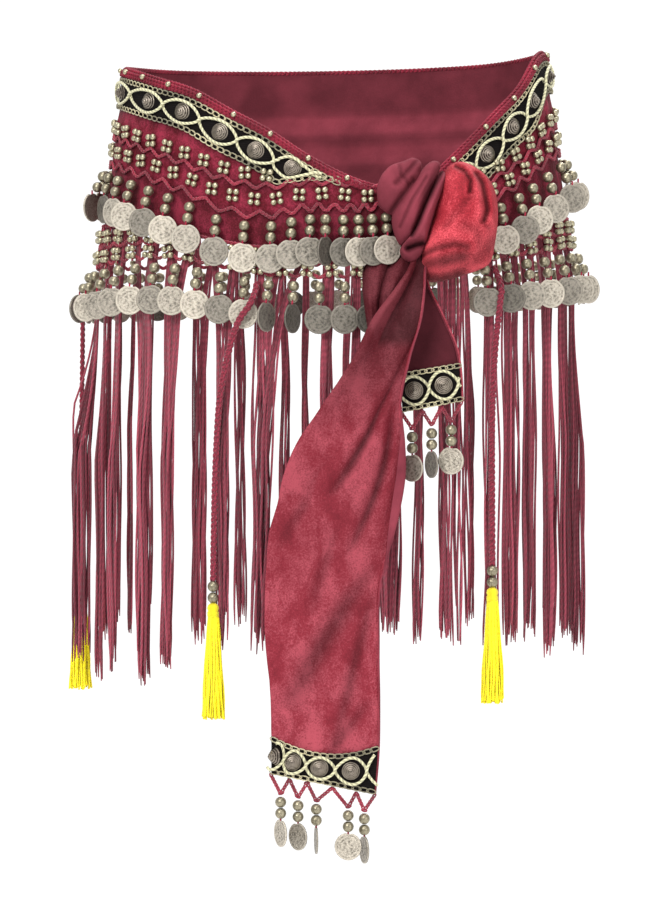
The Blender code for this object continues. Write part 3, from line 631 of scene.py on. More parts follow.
def cloth(points, thickness, dark=0.0):
    """The two faces of a cloth with a rim: the grid moved half its thickness each way.

    Dark, from 0 to 1, is painted shade; the grain keeps it.
    """
    normal = unit(np.cross(np.gradient(points, axis=1), np.gradient(points, axis=0)))
    grain = np.zeros(points.shape)
    grain[..., 2] = dark
    front = lattice(points + normal * thickness / 2.0, grain)
    back = lattice(points - normal * thickness / 2.0, grain, flip=True)
    rows, columns = points.shape[:2]
    index = np.arange(rows * columns).reshape(rows, columns)
    edge = np.concatenate([index[0, :-1], index[:-1, -1], index[-1, :0:-1], index[:0:-1, 0]])
    after = np.roll(edge, -1)
    base = rows * columns
    rim = np.stack([after, edge, edge + base, after + base], axis=1)
    return (*joined([front, back])[:2], np.concatenate([grain, grain]).reshape(-1, 3)), rim


def bend_frames(points, outward):
    """Axes along a line, across it and outwards, for each of its points."""
    along = unit(np.gradient(points, axis=0))
    across = unit(np.cross(outward, along))
    return np.stack([along, across, np.cross(along, across)], axis=1)


def outward_of(points):
    """The hips' level normal by each point: x and y over the squares of the half axes."""
    away = np.stack([points[..., 0], points[..., 1] / HIP_DEPTH_SHARE**2, 0.0 * points[..., 0]], -1)
    return unit(away)


def respaced(points, spacing):
    """Points one even step apart along a line."""
    run = run_along(points)
    even = np.linspace(0.0, run[-1], max(int(round(run[-1] / spacing)), 2) + 1)
    return np.stack([np.interp(even, run, points[:, axis]) for axis in range(3)], axis=1)


def stitches(points, stitch, sides=8, outward=None):
    """Chain stitches along a line: ovals of round thread, one end raised on the stitch before.

    They face outward, or along the hips' normal where no outward is given.
    """
    spacing, half_length, half_across, thread = stitch
    line = respaced(points, spacing)
    normal = outward_of(line) if outward is None else np.broadcast_to(outward, line.shape)
    axes = bend_frames(line, normal)
    around = np.arange(sides) * 2.0 * math.pi / sides
    ring = np.arange(THREAD_SIDES) * 2.0 * math.pi / THREAD_SIDES
    around, ring = around[:, None], ring[None, :]
    x = (half_length + thread * np.cos(ring)) * np.cos(around)
    y = (half_across + thread * np.cos(ring)) * np.sin(around)
    z = thread * np.sin(ring) + thread * 0.9 * np.cos(around)
    grain = np.stack([0.0 * x + around * half_length, 0.0 * x + ring, 0.0 * x], axis=-1)
    loop = np.stack([x, y, z], axis=-1)
    _, faces, _ = lattice(np.concatenate([loop, loop[:1]]), wrap=True)
    quads = faces[0] % (sides * THREAD_SIDES)
    form = (loop.reshape(-1, 3), [quads], grain.reshape(-1, 3))
    return copies(form, axes, line, uneven(len(line), 12.9898))


def blended(upper, lower, share, shift=0.0):
    """Heights, by turn, of a line this share of the way from one of the band's lines to another."""

    def heights(turns):
        return band(upper, turns) * (1.0 - share) + band(lower, turns) * share + shift

    return heights


def swags(turns, heights_of, rise, out):
    """A line that dips to the given heights at each turn and rises to a peak half way between."""
    fine = np.linspace(turns[0] - 2.0, turns[-1] + 2.0, 7000)
    step = np.arange(len(turns), dtype=float)
    phase = np.interp(fine, turns, step)
    share = np.abs((phase + 0.5) % 1.0 - 0.5) * 2.0
    smooth = 0.5 - 0.5 * np.cos(share * math.pi)
    return hip(fine, heights_of(fine) + rise * (0.7 * share + 0.3 * smooth), out)


def crush(x, z, fine=1.0):
    """Shallow creases of crushed cloth, about half a millimetre deep: crossed uneven waves."""
    x, z = x * 1000.0 * fine, z * 1000.0 * fine
    bent = z + 6.0 * np.sin(x / 11.0 + 0.7) + 4.0 * np.sin(x / 5.3 + z / 17.0)
    waves = np.sin(bent / 4.1 + x / 19.0) + 0.7 * np.sin(x / 3.7 - bent / 9.0 + 1.3)
    return 0.0003 * (waves + 0.6 * np.sin(x / 2.1 + bent / 2.9))


# Materials.


def feed(tree, node, inputs):
    """Gives each input of a node a value or another node's output."""
    for name, value in inputs.items():
        if isinstance(value, bpy.types.NodeSocket):
            tree.links.new(value, node.inputs[name])
        else:
            node.inputs[name].default_value = value


def add(tree, kind, inputs=None, **settings):
    """Adds a node with its settings and inputs."""
    made = tree.nodes.new("ShaderNode" + kind)
    for name, value in settings.items():
        setattr(made, name, value)
    feed(tree, made, inputs or {})
    return made


def ramp(tree, factor, stops):
    """A colour ramp through (place, colour) stops."""
    made = add(tree, "ValToRGB", {"Fac": factor})
    elements = made.color_ramp.elements
    while len(elements) < len(stops):
        elements.new(0.5)
    for element, (place, colour) in zip(elements, stops):
        element.position = place
        element.color = (*colour[:3], 1.0)
    return made.outputs["Color"]


def shaded(colour, share):
    """The colour made darker or lighter."""
    return tuple(min(max(value * share, 0.0), 1.0) for value in colour[:3])


def begin(name):
    """A new material, its node tree and its shader."""
    made = bpy.data.materials.new(name)
    made.use_nodes = True
    return made, made.node_tree, made.node_tree.nodes["Principled BSDF"]


def join_bump(tree, shader, height, distance, strength=1.0, before=None):
    """Feeds a height into the shader's normal."""
    inputs = {"Height": height, "Distance": distance, "Strength": strength}
    if before is not None:
        inputs["Normal"] = before
    made = add(tree, "Bump", inputs)
    feed(tree, shader, {"Normal": made.outputs["Normal"]})
    return made.outputs["Normal"]


def apply_painted_shade(tree, shader, colour):
    """Darkens a cloth's colour by the painted shade that its grain's third number holds."""
    grain = add(tree, "Attribute", attribute_name="grain").outputs["Vector"]
    own = add(tree, "SeparateXYZ", {"Vector": grain})
    share = add(tree, "MapRange", {0: own.outputs["Z"], 1: 0.0, 2: 1.0, 3: 1.0, 4: 0.16})
    mixed = add(tree, "VectorMath", {0: colour, 1: share.outputs[0]}, operation="MULTIPLY")
    feed(tree, shader, {"Base Color": mixed.outputs[0]})


def crushed_velvet(name, colour, contrast, patch):
    """Pile pressed flat this way and that: light and dark patches, speckled, with a soft sheen.

    The speckle is 1.2 mm apart, coarser than real pile, so that it shows.
    """
    made, tree, shader = begin(name)
    place = add(tree, "TexCoord").outputs["Object"]
    drawn = add(tree, "VectorMath", {0: place, 1: (1.0, 1.0, 0.55)}, operation="MULTIPLY")
    warp = add(tree, "TexNoise", {"Vector": place, "Scale": 0.6 / patch, "Detail": 2.0})
    bent = add(
        tree, "VectorMath", {0: warp.outputs["Color"], 1: (patch * 1.1,) * 3, 2: drawn.outputs[0]},
        operation="MULTIPLY_ADD",
    )
    patches = add(
        tree, "TexNoise",
        {"Vector": bent.outputs[0], "Scale": 1.0 / patch, "Detail": 6.0, "Roughness": 0.6},
    )
    pile = add(
        tree, "TexNoise",
        {"Vector": place, "Scale": 1.0 / 0.0012, "Detail": 3.0, "Roughness": 0.75},
    )
    speckled = add(
        tree, "Math", {0: pile.outputs["Fac"], 1: 0.75, 2: patches.outputs["Fac"]},
        operation="MULTIPLY_ADD",
    )
    red = tuple(value * share for value, share in zip(colour, (1.0, 0.5, 0.62)))
    stops = (
        (0.66, shaded(red, 1.0 - 0.75 * contrast)),
        (0.81, shaded(red, 1.0 - 0.2 * contrast)),
        (0.92, shaded(colour, 1.0 + 0.45 * contrast)),
        (1.0, shaded(colour, 1.0 + 1.4 * contrast)),
    )
    # Painted shade from the grain darkens the velvet's colour.
    apply_painted_shade(tree, shader, ramp(tree, speckled.outputs[0], stops))
    feed(tree, shader, {"Roughness": 0.7, "Specular IOR Level": 0.15, "Sheen Weight": 0.06})
    feed(tree, shader, {"Sheen Roughness": 0.4, "Sheen Tint": (*shaded(colour, 3.0), 1.0)})
    coarse = join_bump(tree, shader, patches.outputs["Fac"], 0.004, 0.7)
    join_bump(tree, shader, pile.outputs["Fac"], 0.0007, 0.8, coarse)
    return made


def knitted_back(name, colour):
    """The velvet's matt wrong side: a fine knit in cloudy light and dark, with a dull sheen.

    The knit is 1.6 mm apart, coarser than the real one, so that it shows.
    """
    made, tree, shader = begin(name)
    place = add(tree, "TexCoord").outputs["Object"]
    patches = add(tree, "TexNoise", {"Vector": place, "Scale": 1.0 / 0.03, "Detail": 4.0})
    stops = ((0.35, shaded(colour, 0.72)), (0.55, colour), (0.72, shaded(colour, 1.25)))
    # Painted shade from the grain darkens the wrong side's colour.
    apply_painted_shade(tree, shader, ramp(tree, patches.outputs["Fac"], stops))
    feed(tree, shader, {"Roughness": 0.9, "Specular IOR Level": 0.1})
    feed(tree, shader, {"Sheen Weight": 0.2, "Sheen Tint": (*shaded(colour, 1.8), 1.0)})
    knit = add(tree, "TexNoise", {"Vector": place, "Scale": 1.0 / 0.0016, "Detail": 2.0})
    join_bump(tree, shader, knit.outputs["Fac"], 0.0005, 0.5)
    return made


def twisted_thread(name, colour, pitch, spread, groove=0.55, sheen=0.25):
    """Spun thread: slanting plies with painted shade in their grooves, each length its own tone."""
    made, tree, shader = begin(name)
    grain = add(tree, "Attribute", attribute_name="grain").outputs["Vector"]
    parts = add(tree, "SeparateXYZ", {"Vector": grain})
    along = add(tree, "Math", {0: parts.outputs["X"], 1: 1.0 / pitch}, operation="MULTIPLY")
    slant = add(
        tree, "Math", {0: parts.outputs["Y"], 1: 2.0, 2: along.outputs[0]},
        operation="MULTIPLY_ADD",
    )
    angle = add(tree, "Math", {0: slant.outputs[0], 1: 2.0 * math.pi}, operation="MULTIPLY")
    wave = add(tree, "Math", {0: angle.outputs[0]}, operation="SINE")
    low, high = shaded(colour, 1.0 - spread), shaded(colour, 1.0 + spread)
    own = ramp(tree, parts.outputs["Z"], ((0.0, low), (0.6, colour), (1.0, high)))
    # Painted shade in the grooves between the plies, down to groove times the colour, and painted
    # light on their crests, up to 1.1 times.
    ply = add(tree, "MapRange", {0: wave.outputs[0], 1: -1.0, 2: 1.0, 3: groove, 4: 1.1})
    mixed = add(tree, "VectorMath", {0: own, 1: ply.outputs[0]}, operation="MULTIPLY")
    feed(tree, shader, {"Base Color": mixed.outputs[0], "Roughness": 0.75})
    feed(tree, shader, {"Specular IOR Level": 0.2, "Sheen Weight": sheen})
    join_bump(tree, shader, wave.outputs[0], 0.0003 * (1.0 - groove), 0.8)
    return made


def woven_ribbon(name, colour):
    """Black ribbon: crosswise ribs 1.4 mm apart so that they show, with painted light and shade."""
    made, tree, shader = begin(name)
    place = add(tree, "TexCoord").outputs["Object"]
    ribs = add(
        tree, "TexWave", {"Vector": place, "Scale": 0.31 / 0.0014, "Distortion": 1.5},
        bands_direction="Z",
    )
    # Painted shade between the ribs, down to half the colour, and painted light on their crests, up
    # to 1.6 times.
    stops = ((0.0, shaded(colour, 0.5)), (1.0, shaded(colour, 1.6)))
    feed(tree, shader, {"Base Color": ramp(tree, ribs.outputs["Fac"], stops)})
    feed(tree, shader, {"Roughness": 0.9, "Specular IOR Level": 0.12})
    join_bump(tree, shader, ribs.outputs["Fac"], 0.0002, 0.6)
    return made


def worn_metal(name, colour, dark, roughness, ring=0.0):
    """Antique metal with an uneven skin; ring is the spacing of dark grooves round its middle."""
    made, tree, shader = begin(name)
    grain = add(tree, "Attribute", attribute_name="grain").outputs["Vector"]
    place = add(tree, "VectorMath", {0: grain, 1: (1.0, 1.0, 0.05)}, operation="MULTIPLY")
    cast = add(
        tree, "TexNoise", {"Vector": place.outputs[0], "Scale": 1.0 / 0.0025, "Detail": 3.0}
    )
    height = cast.outputs["Fac"]
    if ring > 0.0:
        flat = add(tree, "VectorMath", {0: grain, 1: (1.0, 1.0, 0.0)}, operation="MULTIPLY")
        away = add(tree, "VectorMath", {0: flat.outputs[0]}, operation="LENGTH")
        angle = add(
            tree, "Math", {0: away.outputs["Value"], 1: 2.0 * math.pi / ring}, operation="MULTIPLY"
        )
        wave = add(tree, "Math", {0: angle.outputs[0]}, operation="COSINE")
        height = add(
            tree, "Math", {0: wave.outputs[0], 1: 0.30, 2: height}, operation="MULTIPLY_ADD"
        ).outputs[0]
    worn = ramp(tree, height, ((0.22, dark), (0.42, shaded(colour, 0.75)), (0.6, colour)))
    feed(tree, shader, {"Base Color": worn, "Metallic": 0.85, "Roughness": roughness})
    join_bump(tree, shader, height, 0.0003, 0.6)
    return made


def struck_coin(name, colour, dark):
    """Antique coin metal: a dark pitted ground, with the raised work rubbed bright."""
    made, tree, shader = begin(name)
    grain = add(tree, "Attribute", attribute_name="grain").outputs["Vector"]
    height = add(tree, "Attribute", attribute_name="relief").outputs["Fac"]
    parts = add(tree, "VectorMath", {0: grain, 1: (1.0, 1.0, 0.08)}, operation="MULTIPLY")
    pits = add(
        tree, "TexNoise",
        {"Vector": parts.outputs[0], "Scale": 1.0 / 0.0012, "Detail": 4.0, "Roughness": 0.75},
    )
    stain = add(
        tree, "Math", {0: height, 1: 0.42, 2: pits.outputs["Fac"]}, operation="MULTIPLY_ADD"
    )
    stops = ((0.42, dark), (0.62, shaded(colour, 0.62)), (0.82, colour))
    shade = ramp(tree, stain.outputs[0], stops)
    own = add(tree, "SeparateXYZ", {"Vector": grain})
    # Each coin's own tone, times painted shade where it hangs in the knot's shade, from the grain's
    # third number.
    tone_and_painted_shade = add(tree, "MapRange", {0: own.outputs["Z"], 1: 0.0, 2: 0.45, 3: 0.25, 4: 1.0})
    mixed = add(tree, "VectorMath", {0: shade, 1: tone_and_painted_shade.outputs[0]}, operation="MULTIPLY")
    feed(tree, shader, {"Base Color": mixed.outputs[0], "Metallic": 0.65, "Roughness": 0.42})
    join_bump(tree, shader, pits.outputs["Fac"], 0.0008, 0.7)
    return made


def painted(name, colour, roughness):
    """A plain matt surface."""
    made, tree, shader = begin(name)
    feed(tree, shader, {"Base Color": (*colour[:3], 1.0), "Roughness": roughness})
    return made


MATERIALS = {}


def materials():
    """The scarf's materials, made once."""
    if not MATERIALS:
        hues = bpy.context.scene.hip_scarf_colours
        MATERIALS.update(
            # Band, knot and tails are one velvet: the band's colour is darker, as painted shade
            # among its beadwork, and the knot's lighter, as painted light on its large lobe.
            band_velvet=crushed_velvet("crushed velvet of the band", hues.band_velvet, 0.7, 0.012),
            knot_velvet=crushed_velvet("crushed velvet of the knot", hues.knot_velvet, 0.6, 0.03),
            tail_velvet=crushed_velvet("crushed velvet of the tails", hues.tail_velvet, 0.4, 0.022),
            wrong_side=knitted_back("wrong side of the velvet", hues.wrong_side),
            ribbon=woven_ribbon("black ribbon", hues.ribbon),
            gold_cord=twisted_thread("pale gold cord", hues.gold_cord, 0.0035, 0.15),
            chain_thread=twisted_thread(
                "gold and silver embroidery thread", hues.stitch, 0.002, 0.5
            ),
            crochet=twisted_thread("crimson crochet cotton", hues.crochet, 0.0028, 0.25),
            cord=twisted_thread("wine-red plaited cotton", hues.cord, 0.0028, 0.25),
            edging=twisted_thread("wine-red crochet cotton", hues.edging, 0.0028, 0.25, 0.55, 0.05),
            yarn=twisted_thread("wine-red fringe yarn", hues.fringe, 0.005, 0.5, 0.78),
            yellow=twisted_thread("yellow tassel yarn", hues.tassel, 0.005, 0.2, 0.92),
            pewter=worn_metal("antique pewter studs", hues.stud, linear("#2c2420"), 0.4, 0.00125),
            glass=worn_metal("pale khaki metallic beads", hues.small_bead, linear("#6a6040"), 0.34),
            bronze=worn_metal("antique bronze beads", hues.bead, linear("#4a4430"), 0.38),
            silver=struck_coin("antique silver coins", hues.coin, linear("#4a453a")),
        )
    return MATERIALS


# Pieces.


def piece(name, groups, nodes, relief=None):
    """One object that rides the scarf, from forms with the name of each one's material."""
    stock = materials()
    mesh = bpy.data.meshes.new(name)
    points, faces, grain = joined([form for form, _ in groups])
    owner = [index for index, (form, _) in enumerate(groups) for _ in form[1]]
    sizes = np.concatenate([np.full(len(group), group.shape[1]) for group in faces])
    mesh.vertices.add(len(points))
    mesh.vertices.foreach_set("co", points.astype(np.float32).ravel())
    mesh.loops.add(int(sizes.sum()))
    corner_points = np.concatenate([group.ravel() for group in faces])
    mesh.loops.foreach_set("vertex_index", corner_points.astype(np.int32))
    mesh.polygons.add(len(sizes))
    starts = np.concatenate([[0], np.cumsum(sizes)[:-1]]).astype(np.int32)
    mesh.polygons.foreach_set("loop_start", starts)
    mesh.polygons.foreach_set("loop_total", sizes.astype(np.int32))
    names = []
    for _, material in groups:
        if material not in names:
            names.append(material)
            mesh.materials.append(stock[material])
    index = [names.index(groups[who][1]) for who in owner]
    chosen = np.concatenate([np.full(len(group), i) for group, i in zip(faces, index)])
    mesh.polygons.foreach_set("material_index", chosen.astype(np.int32))
    mesh.attributes.new("grain", "FLOAT_VECTOR", "POINT").data.foreach_set(
        "vector", grain.astype(np.float32).ravel()
    )
    if relief is not None:
        mesh.attributes.new("relief", "FLOAT", "POINT").data.foreach_set(
            "value", relief.astype(np.float32)
        )
    mesh.update(calc_edges=True)
    mesh.validate()
    mesh.shade_smooth()
    made = bpy.data.objects.new(name, mesh)
    bpy.context.scene.collection.objects.link(made)
    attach(made, "root")
    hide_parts(*nodes)
    return made


def wings(stem):
    """The CAD nodes of one layer of the band."""
    return [f"{stem}_{wing}" for wing in ("front_left", "back", "front_right")]


def velvet_band():
    """Velvet round the hips: out = its wall, puffed up to 1.3 mm between its stitched lines."""
    rows, columns = VELVET_GRID
    turns = np.linspace(FIRST_TURN + SEAM_TURN, LAST_TURN - SEAM_TURN, columns)
    share = np.linspace(0.0, 1.0, rows)[:, None]
    top, hem = band("top", turns), band("hem", turns)
    heights = top + (hem - top) * share
    _, ribbon_low = trim_edges(turns)
    chain, line = band("chain", turns), band("line", turns)
    puff = 0.0
    for upper, lower in ((ribbon_low, chain), (chain, line), (line, hem)):
        within = np.clip((upper - heights) / np.maximum(upper - lower, 0.004), 0.0, 1.0)
        puff = puff + np.sin(within * math.pi) ** 2
    run = run_along(hip(turns, hem))
    tuck = 0.65 + 0.35 * np.sin(run / 0.0083 * math.pi + heights * 90.0)
    points = hip(turns, heights, VELVET_WALL / 2.0)
    rise = 0.0009 * puff * tuck + 0.5 * puff * np.abs(crush(run, heights))
    points = points + outward_of(points) * rise[..., None]
    # Painted shade: darker along the stitched lines, where the velvet is pulled in, and on the
    # puffs below the line of upper pendants.
    dark = 0.45 * np.clip(1.0 - puff * 1.6, 0.0, 1.0) + 0.3 * (heights < line) * puff
    return two_sided(points[::-1], VELVET_WALL * 0.8, "band_velvet", "wrong_side", dark[::-1])


def with_rim(form, rim):
    """A cloth form with its rim's faces."""
    points, faces, grain = form
    return points, [*faces, rim], grain


def two_sided(points, thickness, front, back, dark=0.0):
    """A cloth whose faces have their own materials; the second group uses the first's points."""
    (all_points, faces, grain), rim = cloth(points, thickness, dark)
    count = len(all_points)
    rest = (all_points[:0], [faces[1] - count, rim - count], grain[:0])
    return [((all_points, [faces[0]], grain), front), (rest, back)]


def spiral_cone(radius, height, turns=5, sides=20):
    """A stud: its radius falls evenly and waves as a sine, one wave a ring, up to a small tip."""
    step = np.linspace(0.0, 1.0, turns * 5 + 1)
    reach = radius * (1.0 - 0.86 * step) + 0.00035 * np.sin(step * turns * 2.0 * math.pi)
    rise = height * (0.92 * step + 0.08 * step**2)
    rows = [(radius, -0.0004), *zip(reach, rise), (0.0, height * 1.06)]
    return turned(rows, sides)


def eye_phase(places, studs):
    """Angle of the cords' swing: half a turn from stud to stud, widest at the studs."""
    ends = [2.0 * studs[0] - studs[1], *studs, 2.0 * studs[-1] - studs[-2]]
    return (np.interp(places, ends, np.arange(len(ends))) - 0.5) * math.pi


def eye_cords(middle, across, outward, phase, half_height):
    """Two cords that swing to opposite sides of a line and cross over each other between studs.

    The swing is the sine of the phase, its size to the power 0.66, and the lift is its cosine.
    """
    swing = np.sign(np.sin(phase)) * np.abs(np.sin(phase)) ** 0.66 * half_height
    lift = np.cos(phase) * EYE_CORD_RADIUS * 0.95
    pair = [
        middle + across * (side * swing)[:, None] + outward * (side * lift)[:, None]
        for side in (-1.0, 1.0)
    ]
    return tube(np.stack(pair), EYE_CORD_RADIUS, 8)


def band_trim():
    """The ribbon under the top edge with its stitches, crossing cords and cone studs."""
    turns = np.linspace(FIRST_TURN + SEAM_TURN, TRIM_END_TURN, 460)
    upper, lower = trim_edges(turns)
    share = np.linspace(0.0, 1.0, 5)[:, None]
    heights = lower + (upper - lower) * share
    ribbon, rim = cloth(hip(turns, heights, RIBBON_INNER + RIBBON_WALL / 2.0), RIBBON_WALL)
    groups = [(with_rim(ribbon, rim), "ribbon")]
    face = RIBBON_INNER + RIBBON_WALL
    for edge, inset in zip((upper, lower), TRIM_STITCH_INSETS):
        line = hip(turns, edge + inset, face + 0.0008)
        groups.append((stitches(line, TRIM_STITCH, 10), "chain_thread"))
    back = evenly(STUDS_RIGHT[-1], STUDS_LEFT[0], "top", STUD_SPACING)
    studs = np.concatenate([STUDS_RIGHT[:-1], back, STUDS_LEFT[1:]])
    fine = np.linspace(FIRST_TURN + 0.3, TRIM_END_TURN - 3.5, 1500)
    high, low = trim_edges(fine)
    middle = hip(fine, (high + low) / 2.0, face + EYE_CORD_RADIUS * 1.9)
    outward = outward_of(middle)
    across = unit(np.cross(outward, unit(np.gradient(middle, axis=0))))
    room = np.clip(0.4 * (high - low) - EYE_CORD_RADIUS, 0.0003, EYE_HALF_HEIGHT)
    eyes = eye_cords(middle, across, outward, eye_phase(fine, studs), room)
    groups.append((eyes, "gold_cord"))
    stud_upper, stud_lower = trim_edges(studs)
    places = hip(studs, (stud_upper + stud_lower) / 2.0, face)
    axes = stand_frames(outward_of(places))
    groups.append((copies(spiral_cone(STUD_RADIUS, STUD_HEIGHT), axes, places), "pewter"))
    return groups


def stand_frames(outward):
    """Axes level along the surface, upwards and outwards, from its level outward directions."""
    up = np.broadcast_to(np.array([0.0, 0.0, 1.0]), outward.shape)
    return np.stack([unit(np.cross(up, outward)), up, outward], axis=1)


def edging():
    """Crochet along the top edge: rows of stitches, each lower and further out, and beads."""
    turns = np.linspace(FIRST_TURN + 0.1, LAST_TURN - 0.1, 3000)
    top = band("top", turns)
    groups = [
        (stitches(hip(turns, top - drop, out), EDGING_STITCH), "edging")
        for drop, out in EDGING_ROWS
    ]
    beads = evenly(FIRST_TURN + 4.0, LAST_TURN - 4.0, "top", STUD_SPACING)
    places = hip(beads, band("top", beads) - 0.0020, 0.0052)
    axes = stand_frames(outward_of(places))
    groups.append((copies(ball(EDGING_BEAD, 12, 8, 0.0004), axes, places), "glass"))
    return groups


def bead_groups(turns, heights_of, out, radius, seed):
    """Squares of four small beads, laid along a line of the band and each turned a little."""
    centre = hip(turns, heights_of(turns), out + radius)
    ahead = hip(turns + 0.4, heights_of(turns + 0.4), out + radius)
    outward = outward_of(centre)
    slope = unit(ahead - centre)
    slope[:, 2] *= 0.5
    slope = unit(slope)
    roll = (0.14 * np.sin(np.arange(len(turns)) * 2.7 + seed))[:, None]
    across = unit(np.cross(outward, slope))
    along = slope * np.cos(roll) + across * np.sin(roll)
    across = across * np.cos(roll) - slope * np.sin(roll)
    axes = np.stack([along, across, outward], axis=1)
    places = [
        centre + along * (side * radius * 1.05) + across * (level * radius * 1.05)
        for side in (-1.0, 1.0)
        for level in (-1.0, 1.0)
    ]
    marks = uneven(4 * len(turns), 78.2)
    bead = ball(radius, 10, 6, radius * 0.2)
    return copies(bead, np.tile(axes, (4, 1, 1)), np.concatenate(places), marks)


def upper_pendants():
    """Turns of the upper pendants: closer together towards the knot."""
    turns = pendant_turns("line", UPPER_TURNS)
    between = turns[(turns > UPPER_RIGHT[-1] + 6.0) & (turns < UPPER_FRONT[0] - 4.0)]
    return np.concatenate([UPPER_RIGHT, between, UPPER_FRONT])


def beadwork():
    """Two rows of bead groups on the velvet and the two crocheted chains between them."""
    size = bpy.context.scene.hip_scarf_sizes.small_bead / 2.0
    face = VELVET_WALL + 0.0003
    first = evenly(FIRST_TURN + 6.0, -17.0, "chain", GROUP_SPACING)
    second = evenly(FIRST_TURN + 3.0, LAST_TURN - 3.0, "chain", GROUP_SPACING)
    upper = swags(second, blended("chain", "line", 0.0, -0.002), 0.0045, face + 0.0012)
    lower = swags(upper_pendants(), blended("line", "line", 0.0), 0.0055, face + 0.0012)
    return [
        (bead_groups(first, blended("chain", "line", 0.0, 0.0083), face, size, 0.0), "glass"),
        (bead_groups(second, blended("chain", "line", 0.45, 0.001), face, size, 1.0), "glass"),
        (stitches(upper, CROCHET_STITCH), "crochet"),
        (stitches(lower, CROCHET_STITCH), "crochet"),
    ]


def net_tier():
    """Openwork below the hem: a thin chain on the hem, two chains in swags and upright threads.

    The upper swags dip midway between the pendants and the lower ones at them. At each upper
    dip a thread with two groups of four beads falls from the hem to the net's lower line.
    """
    size = bpy.context.scene.hip_scarf_sizes.small_bead / 2.0
    out = 0.0034
    low_turns = pendant_turns("net", LOWER_TURNS)
    upper_turns = (low_turns[:-1] + low_turns[1:]) / 2.0
    fine = np.linspace(FIRST_TURN + 0.2, LAST_TURN - 0.2, 3000)
    hem = hip(fine, band("hem", fine) + 0.0008, out - 0.0006)
    first = swags(upper_turns, blended("hem", "net", 0.54), 0.0035, out)
    second = swags(low_turns, blended("hem", "net", 1.0, 0.0005), 0.0045, out)
    step = np.linspace(0.0, 1.0, 7)[None, :]
    top, low = band("hem", upper_turns)[:, None], band("net", upper_turns)[:, None]
    heights = top + (low - top) * step
    drops = tube(hip(upper_turns[:, None] + 0.0 * step, heights, out), 0.0007, 6)
    return [
        (stitches(hem, HEM_STITCH), "crochet"),
        (stitches(first, CROCHET_STITCH), "crochet"),
        (stitches(second, CROCHET_STITCH), "crochet"),
        (drops, "crochet"),
        (bead_groups(upper_turns, blended("hem", "net", 0.24), out, size, 2.0), "glass"),
        (bead_groups(upper_turns, blended("hem", "net", 0.74), out, size, 3.0), "glass"),
    ]


def coin_form(radius, thick, sides=32, rings=12):
    """A struck disc: a raised rim round low worn lumps, height as sines of x and y, and a notch.

    The grain holds x and y on the coin, and the relief is each point's height from 0 to 1.
    """
    angle = (np.arange(sides) + 0.5) * 2.0 * math.pi / sides + math.pi / 2.0
    share = np.linspace(0.0, 1.0, rings + 1)[1:, None] ** 0.9
    notch = 0.16 * np.exp(-((((angle - math.pi / 2.0) % (2.0 * math.pi)) / 0.12) ** 2))
    notch = notch + 0.16 * np.exp(-((((math.pi / 2.0 - angle) % (2.0 * math.pi)) / 0.12) ** 2))
    x, y = radius * share * np.cos(angle), radius * share * np.sin(angle)
    across, up = share * np.cos(angle), share * np.sin(angle)
    rim = 1.2 * (share > 0.92) + 0.35 * np.exp(-(((share - 0.70) / 0.05) ** 2))
    lumps = np.sin(13.0 * across + 2.0 * np.sin(7.0 * up))
    lumps = lumps * np.sin(12.0 * up + np.sin(9.0 * across))
    height = np.clip(rim + 0.45 + 0.4 * lumps * (share < 0.92), 0.0, 1.0)
    x, y = x * (1.0 - notch * share**6), y * (1.0 - notch * share**6)
    front = np.stack([x, y, thick / 2.0 + 0.0004 * (height - 0.5)], axis=-1)
    edge = np.stack([x[-1:], y[-1:], 0.0 * x[-1:] - thick / 2.0], axis=-1)
    back = np.stack([x[-3:-2], y[-3:-2], 0.0 * x[-1:] - thick / 2.0 + 0.0002], axis=-1)
    rows = np.concatenate([front, edge, back])
    points, faces, _ = lattice(rows, wrap=True)
    tips = np.array([[0.0, 0.0, thick / 2.0 + 0.00025], [0.0, 0.0, -thick / 2.0 + 0.0003]])
    count = len(points)
    faces += [fan(0, sides, count, True), fan(count - sides, sides, count + 1)]
    points = np.concatenate([points, tips])
    relief = np.concatenate([height.ravel(), np.full(2 * sides, 0.35), [0.9, 0.3]])
    return (points, faces, points.copy()), relief


def hung(frames_at, drop, out, spin=0.0, stem=0.0):
    """Places and axes of a thing that hangs below its strip, turned by spin about the upright."""
    middle, along, outward = frames_at
    low = drop * MM + stem
    flare = HIP_DEPTH_SHARE * (half_width(middle[:, 2] - low) - half_width(middle[:, 2]))
    away = (out * MM + flare)[:, None] if stem == 0.0 else 0.0
    places = middle + outward * away
    places[:, 2] -= low
    spin = np.broadcast_to(spin, len(middle))[:, None]
    side = along * np.cos(spin) + outward * np.sin(spin)
    face = outward * np.cos(spin) - along * np.sin(spin)
    up = np.broadcast_to(np.array([0.0, 0.0, 1.0]), side.shape)
    return places, np.stack([side, up, face], axis=1)


